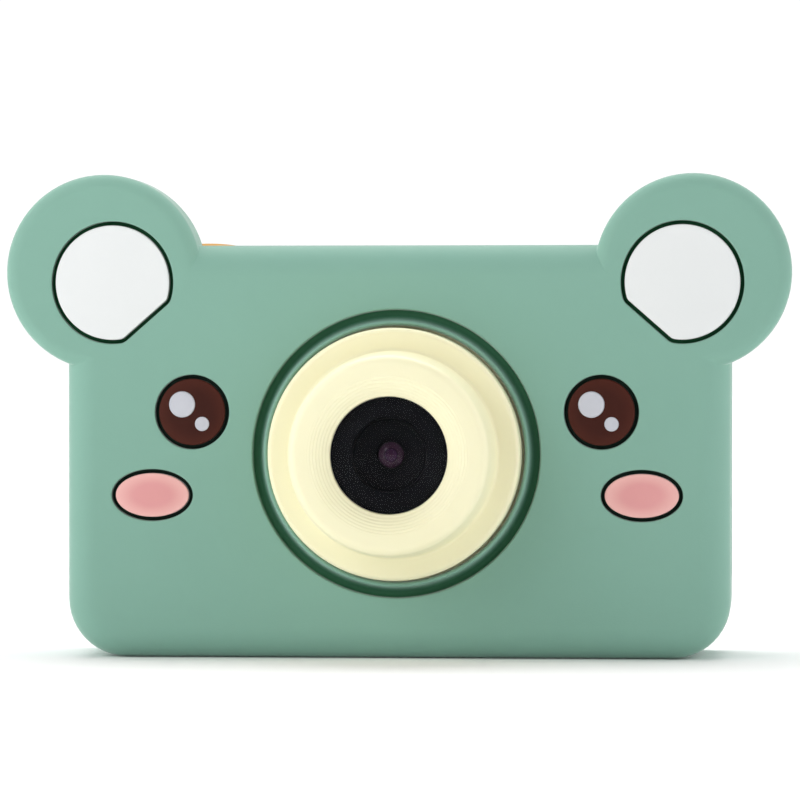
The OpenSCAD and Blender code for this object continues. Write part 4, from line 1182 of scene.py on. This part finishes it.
# Across the flap: round the knuckle to the inner face, along it, round the free edge and back
section = np.concatenate([
    sweep(knuckle, KNUCKLE_R, -meet, math.pi + meet, 30),
    span([inner_x, knuckle[1] - KNUCKLE_R * math.sin(meet)], [inner_x, free + FLAP_IN], 9),
    sweep([inner_x + FLAP_IN, free + FLAP_IN], FLAP_IN, math.pi, 1.5 * math.pi, 5),
    sweep([outer_x - FLAP_OUT, free + FLAP_OUT], FLAP_OUT, -math.pi / 2, 0, 8),
    span([outer_x, free + FLAP_OUT], [outer_x, knuckle[1] - KNUCKLE_R * math.sin(meet)], 10)])


def at_height(flat, z):
    """Lifts x, y points to one height z."""
    return np.insert(flat, 2, z, axis=1)


skin = Skin()
ends = [(FLAP_END * (1 - math.cos(a)), FLAP_END * (1 - math.sin(a))) for a in QUARTER]
loops = [at_height(grown(section, -draw), flap_z[0] + up) for draw, up in ends[::-1]]
loops += [at_height(grown(section, -draw), flap_z[1] - up) for draw, up in ends]
skin.rings(loops)
for z in flap_z:
    skin.sheet(grown(section, -FLAP_END), [], lambda p, z=z: at_height(p, z))
for z, way in ((flap_z[0], -1), (flap_z[1], 1)):
    skin.turned([(0, z - way * 0.4), (PEG_R, z - way * 0.4), (PEG_R, z + way * (PEG_LONG - 0.12)),
                 (PEG_R - 0.12, z + way * PEG_LONG), (0, z + way * PEG_LONG)], *knuckle, axis=2, count=32)
# A thumb catch on the free edge, and three low ribs beside it for grip
CATCH_THICK, CATCH_LONG, CATCH_OUT, CATCH_ROUND, RIB_R = 0.6, 7.0, 0.5, 0.2, 0.24
catch = box_ring(outer_x - CATCH_THICK / 2, flap_mid, CATCH_THICK, CATCH_LONG, 0.25, 5)
tip = free - CATCH_OUT
skin.rings([at_depth(catch, free + CATCH_OUT), at_depth(catch, tip + CATCH_ROUND)]
           + rounded_edge(catch, CATCH_ROUND, tip, 1, first=1))
skin.sheet(catch, [], lambda p: at_depth(p, free + CATCH_OUT))
skin.sheet(grown(catch, -CATCH_ROUND), [], lambda p: at_depth(p, tip))
for step in (1.1, 2.0, 2.9):
    half = CATCH_LONG / 2 - RIB_R
    round_end = [(RIB_R * math.cos(a), RIB_R * math.sin(a)) for a in QUARTER]
    rib = [(r, flap_mid - half - h) for r, h in round_end[::-1]]
    rib += [(r, flap_mid + half + h) for r, h in round_end]
    skin.turned(rib, outer_x, free + step, axis=2, count=16)
flap = piece("port_flap", skin, "port_cover", ["port_cover"], sharp=42)
# Soft-touch plastic: the sleeve's green, a touch smoother and without the powdery light
flap_mint, *_ = moulded("soft-touch TPU, matt moulded, mint", "#86b29e", "#82ae9a", 0.25, 0.008,
                        {"IOR": 1.5, "Specular IOR Level": 0.4}, patch=8.0, rough=(0.45, 0.6))
flap.data.materials.append(flap_mint)


# ==============================================================================
# Studio. The camera stands on a large white-painted board, in a soft white surround.
# ==============================================================================

floor_mesh = bpy.data.meshes.new("floor")
FLOOR_HALF = 6.0
corners = [(x * FLOOR_HALF, y * FLOOR_HALF, 0) for x, y in ((-1, -1), (1, -1), (1, 1), (-1, 1))]
floor_mesh.from_pydata(corners, [], [(0, 1, 2, 3)])
floor = bpy.data.objects.new("floor", floor_mesh)
scene = bpy.context.scene
scene.collection.objects.link(floor)
# White paint on board: flat, with the faintest roller texture
floor_mesh.materials.append(moulded("painted board, white", "#fafafa", "#f8f8f8", 2.0, 0.01, {
    "Roughness": 0.9, "Specular IOR Level": 0.1}, patch=300.0)[0])

# The surround lights from the sides more than from the front, as two tall soft boxes would, so the
# rounded edges are brighter than the face: strength = front + sides x^2 for a direction x, y, z
FRONT, SIDES = 0.1, 2.0
world = bpy.data.worlds.new("soft surround")
world.use_nodes = True
tree = world.node_tree
tree.nodes.clear()
direction = add_node(tree, "ShaderNodeTexCoord").outputs["Generated"]
way = add_node(tree, "ShaderNodeSeparateXYZ", links={0: direction})
sideways = add_node(tree, "ShaderNodeMath", links={0: way.outputs["X"], 1: way.outputs["X"]},
                    operation="MULTIPLY")
strength = add_node(tree, "ShaderNodeMath", {1: SIDES, 2: FRONT}, {0: sideways.outputs[0]},
                    operation="MULTIPLY_ADD")
glow = add_node(tree, "ShaderNodeBackground", {"Color": (1, 1, 1, 1)}, {"Strength": strength.outputs[0]})
paper = add_node(tree, "ShaderNodeBackground", {"Color": (1, 1, 1, 1), "Strength": 1.05})
to_camera = add_node(tree, "ShaderNodeLightPath").outputs["Is Camera Ray"]
seen = add_node(tree, "ShaderNodeMixShader", links={0: to_camera, 1: glow.outputs[0], 2: paper.outputs[0]})
add_node(tree, "ShaderNodeOutputWorld", links={"Surface": seen.outputs[0]})
scene.world = world


def lamp(name, kind, energy, place, aim, **settings):
    """A light at a place in metres, turned towards another."""
    data = bpy.data.lights.new(name, kind)
    data.energy = energy
    for key, value in settings.items():
        setattr(data, key, value)
    made = bpy.data.objects.new(name, data)
    scene.collection.objects.link(made)
    made.location = place
    made.rotation_euler = (Vector(aim) - Vector(place)).to_track_quat("-Z", "Y").to_euler()


# A broad overhead light, a little behind and to the left, whitens the floor and leaves a soft contact
# shadow in front. A small soft box in front of the camera, up and to the left, makes the face fall off
# to the lower right
lamp("overhead", "SUN", 2.05, (-0.04, 0.4, 1.0), (0, 0, 0), angle=math.radians(50))
lamp("near_box", "AREA", 0.27, (-0.19, -0.25, 0.19), (0, 0, 0.04), shape="DISK", size=0.2)


# ==============================================================================
# View. A long lens a little to the right of the middle and just above it, aimed at the face.
# ==============================================================================

AZ, EL, FAR, AIM_Z = math.radians(4.49), math.radians(0.62), 0.654, 0.0338
view = bpy.data.cameras.new("view")
view.lens = 209.65
view.shift_x, view.shift_y = 0.0006, 0.0199
camera = bpy.data.objects.new("view", view)
scene.collection.objects.link(camera)
camera.location = (math.sin(AZ) * FAR * math.cos(EL), -math.cos(AZ) * FAR * math.cos(EL),
                   AIM_Z + FAR * math.sin(EL))
camera.rotation_euler = (math.pi / 2 - EL, 0, AZ)
scene.camera = camera
scene.view_settings.view_transform = "Standard"
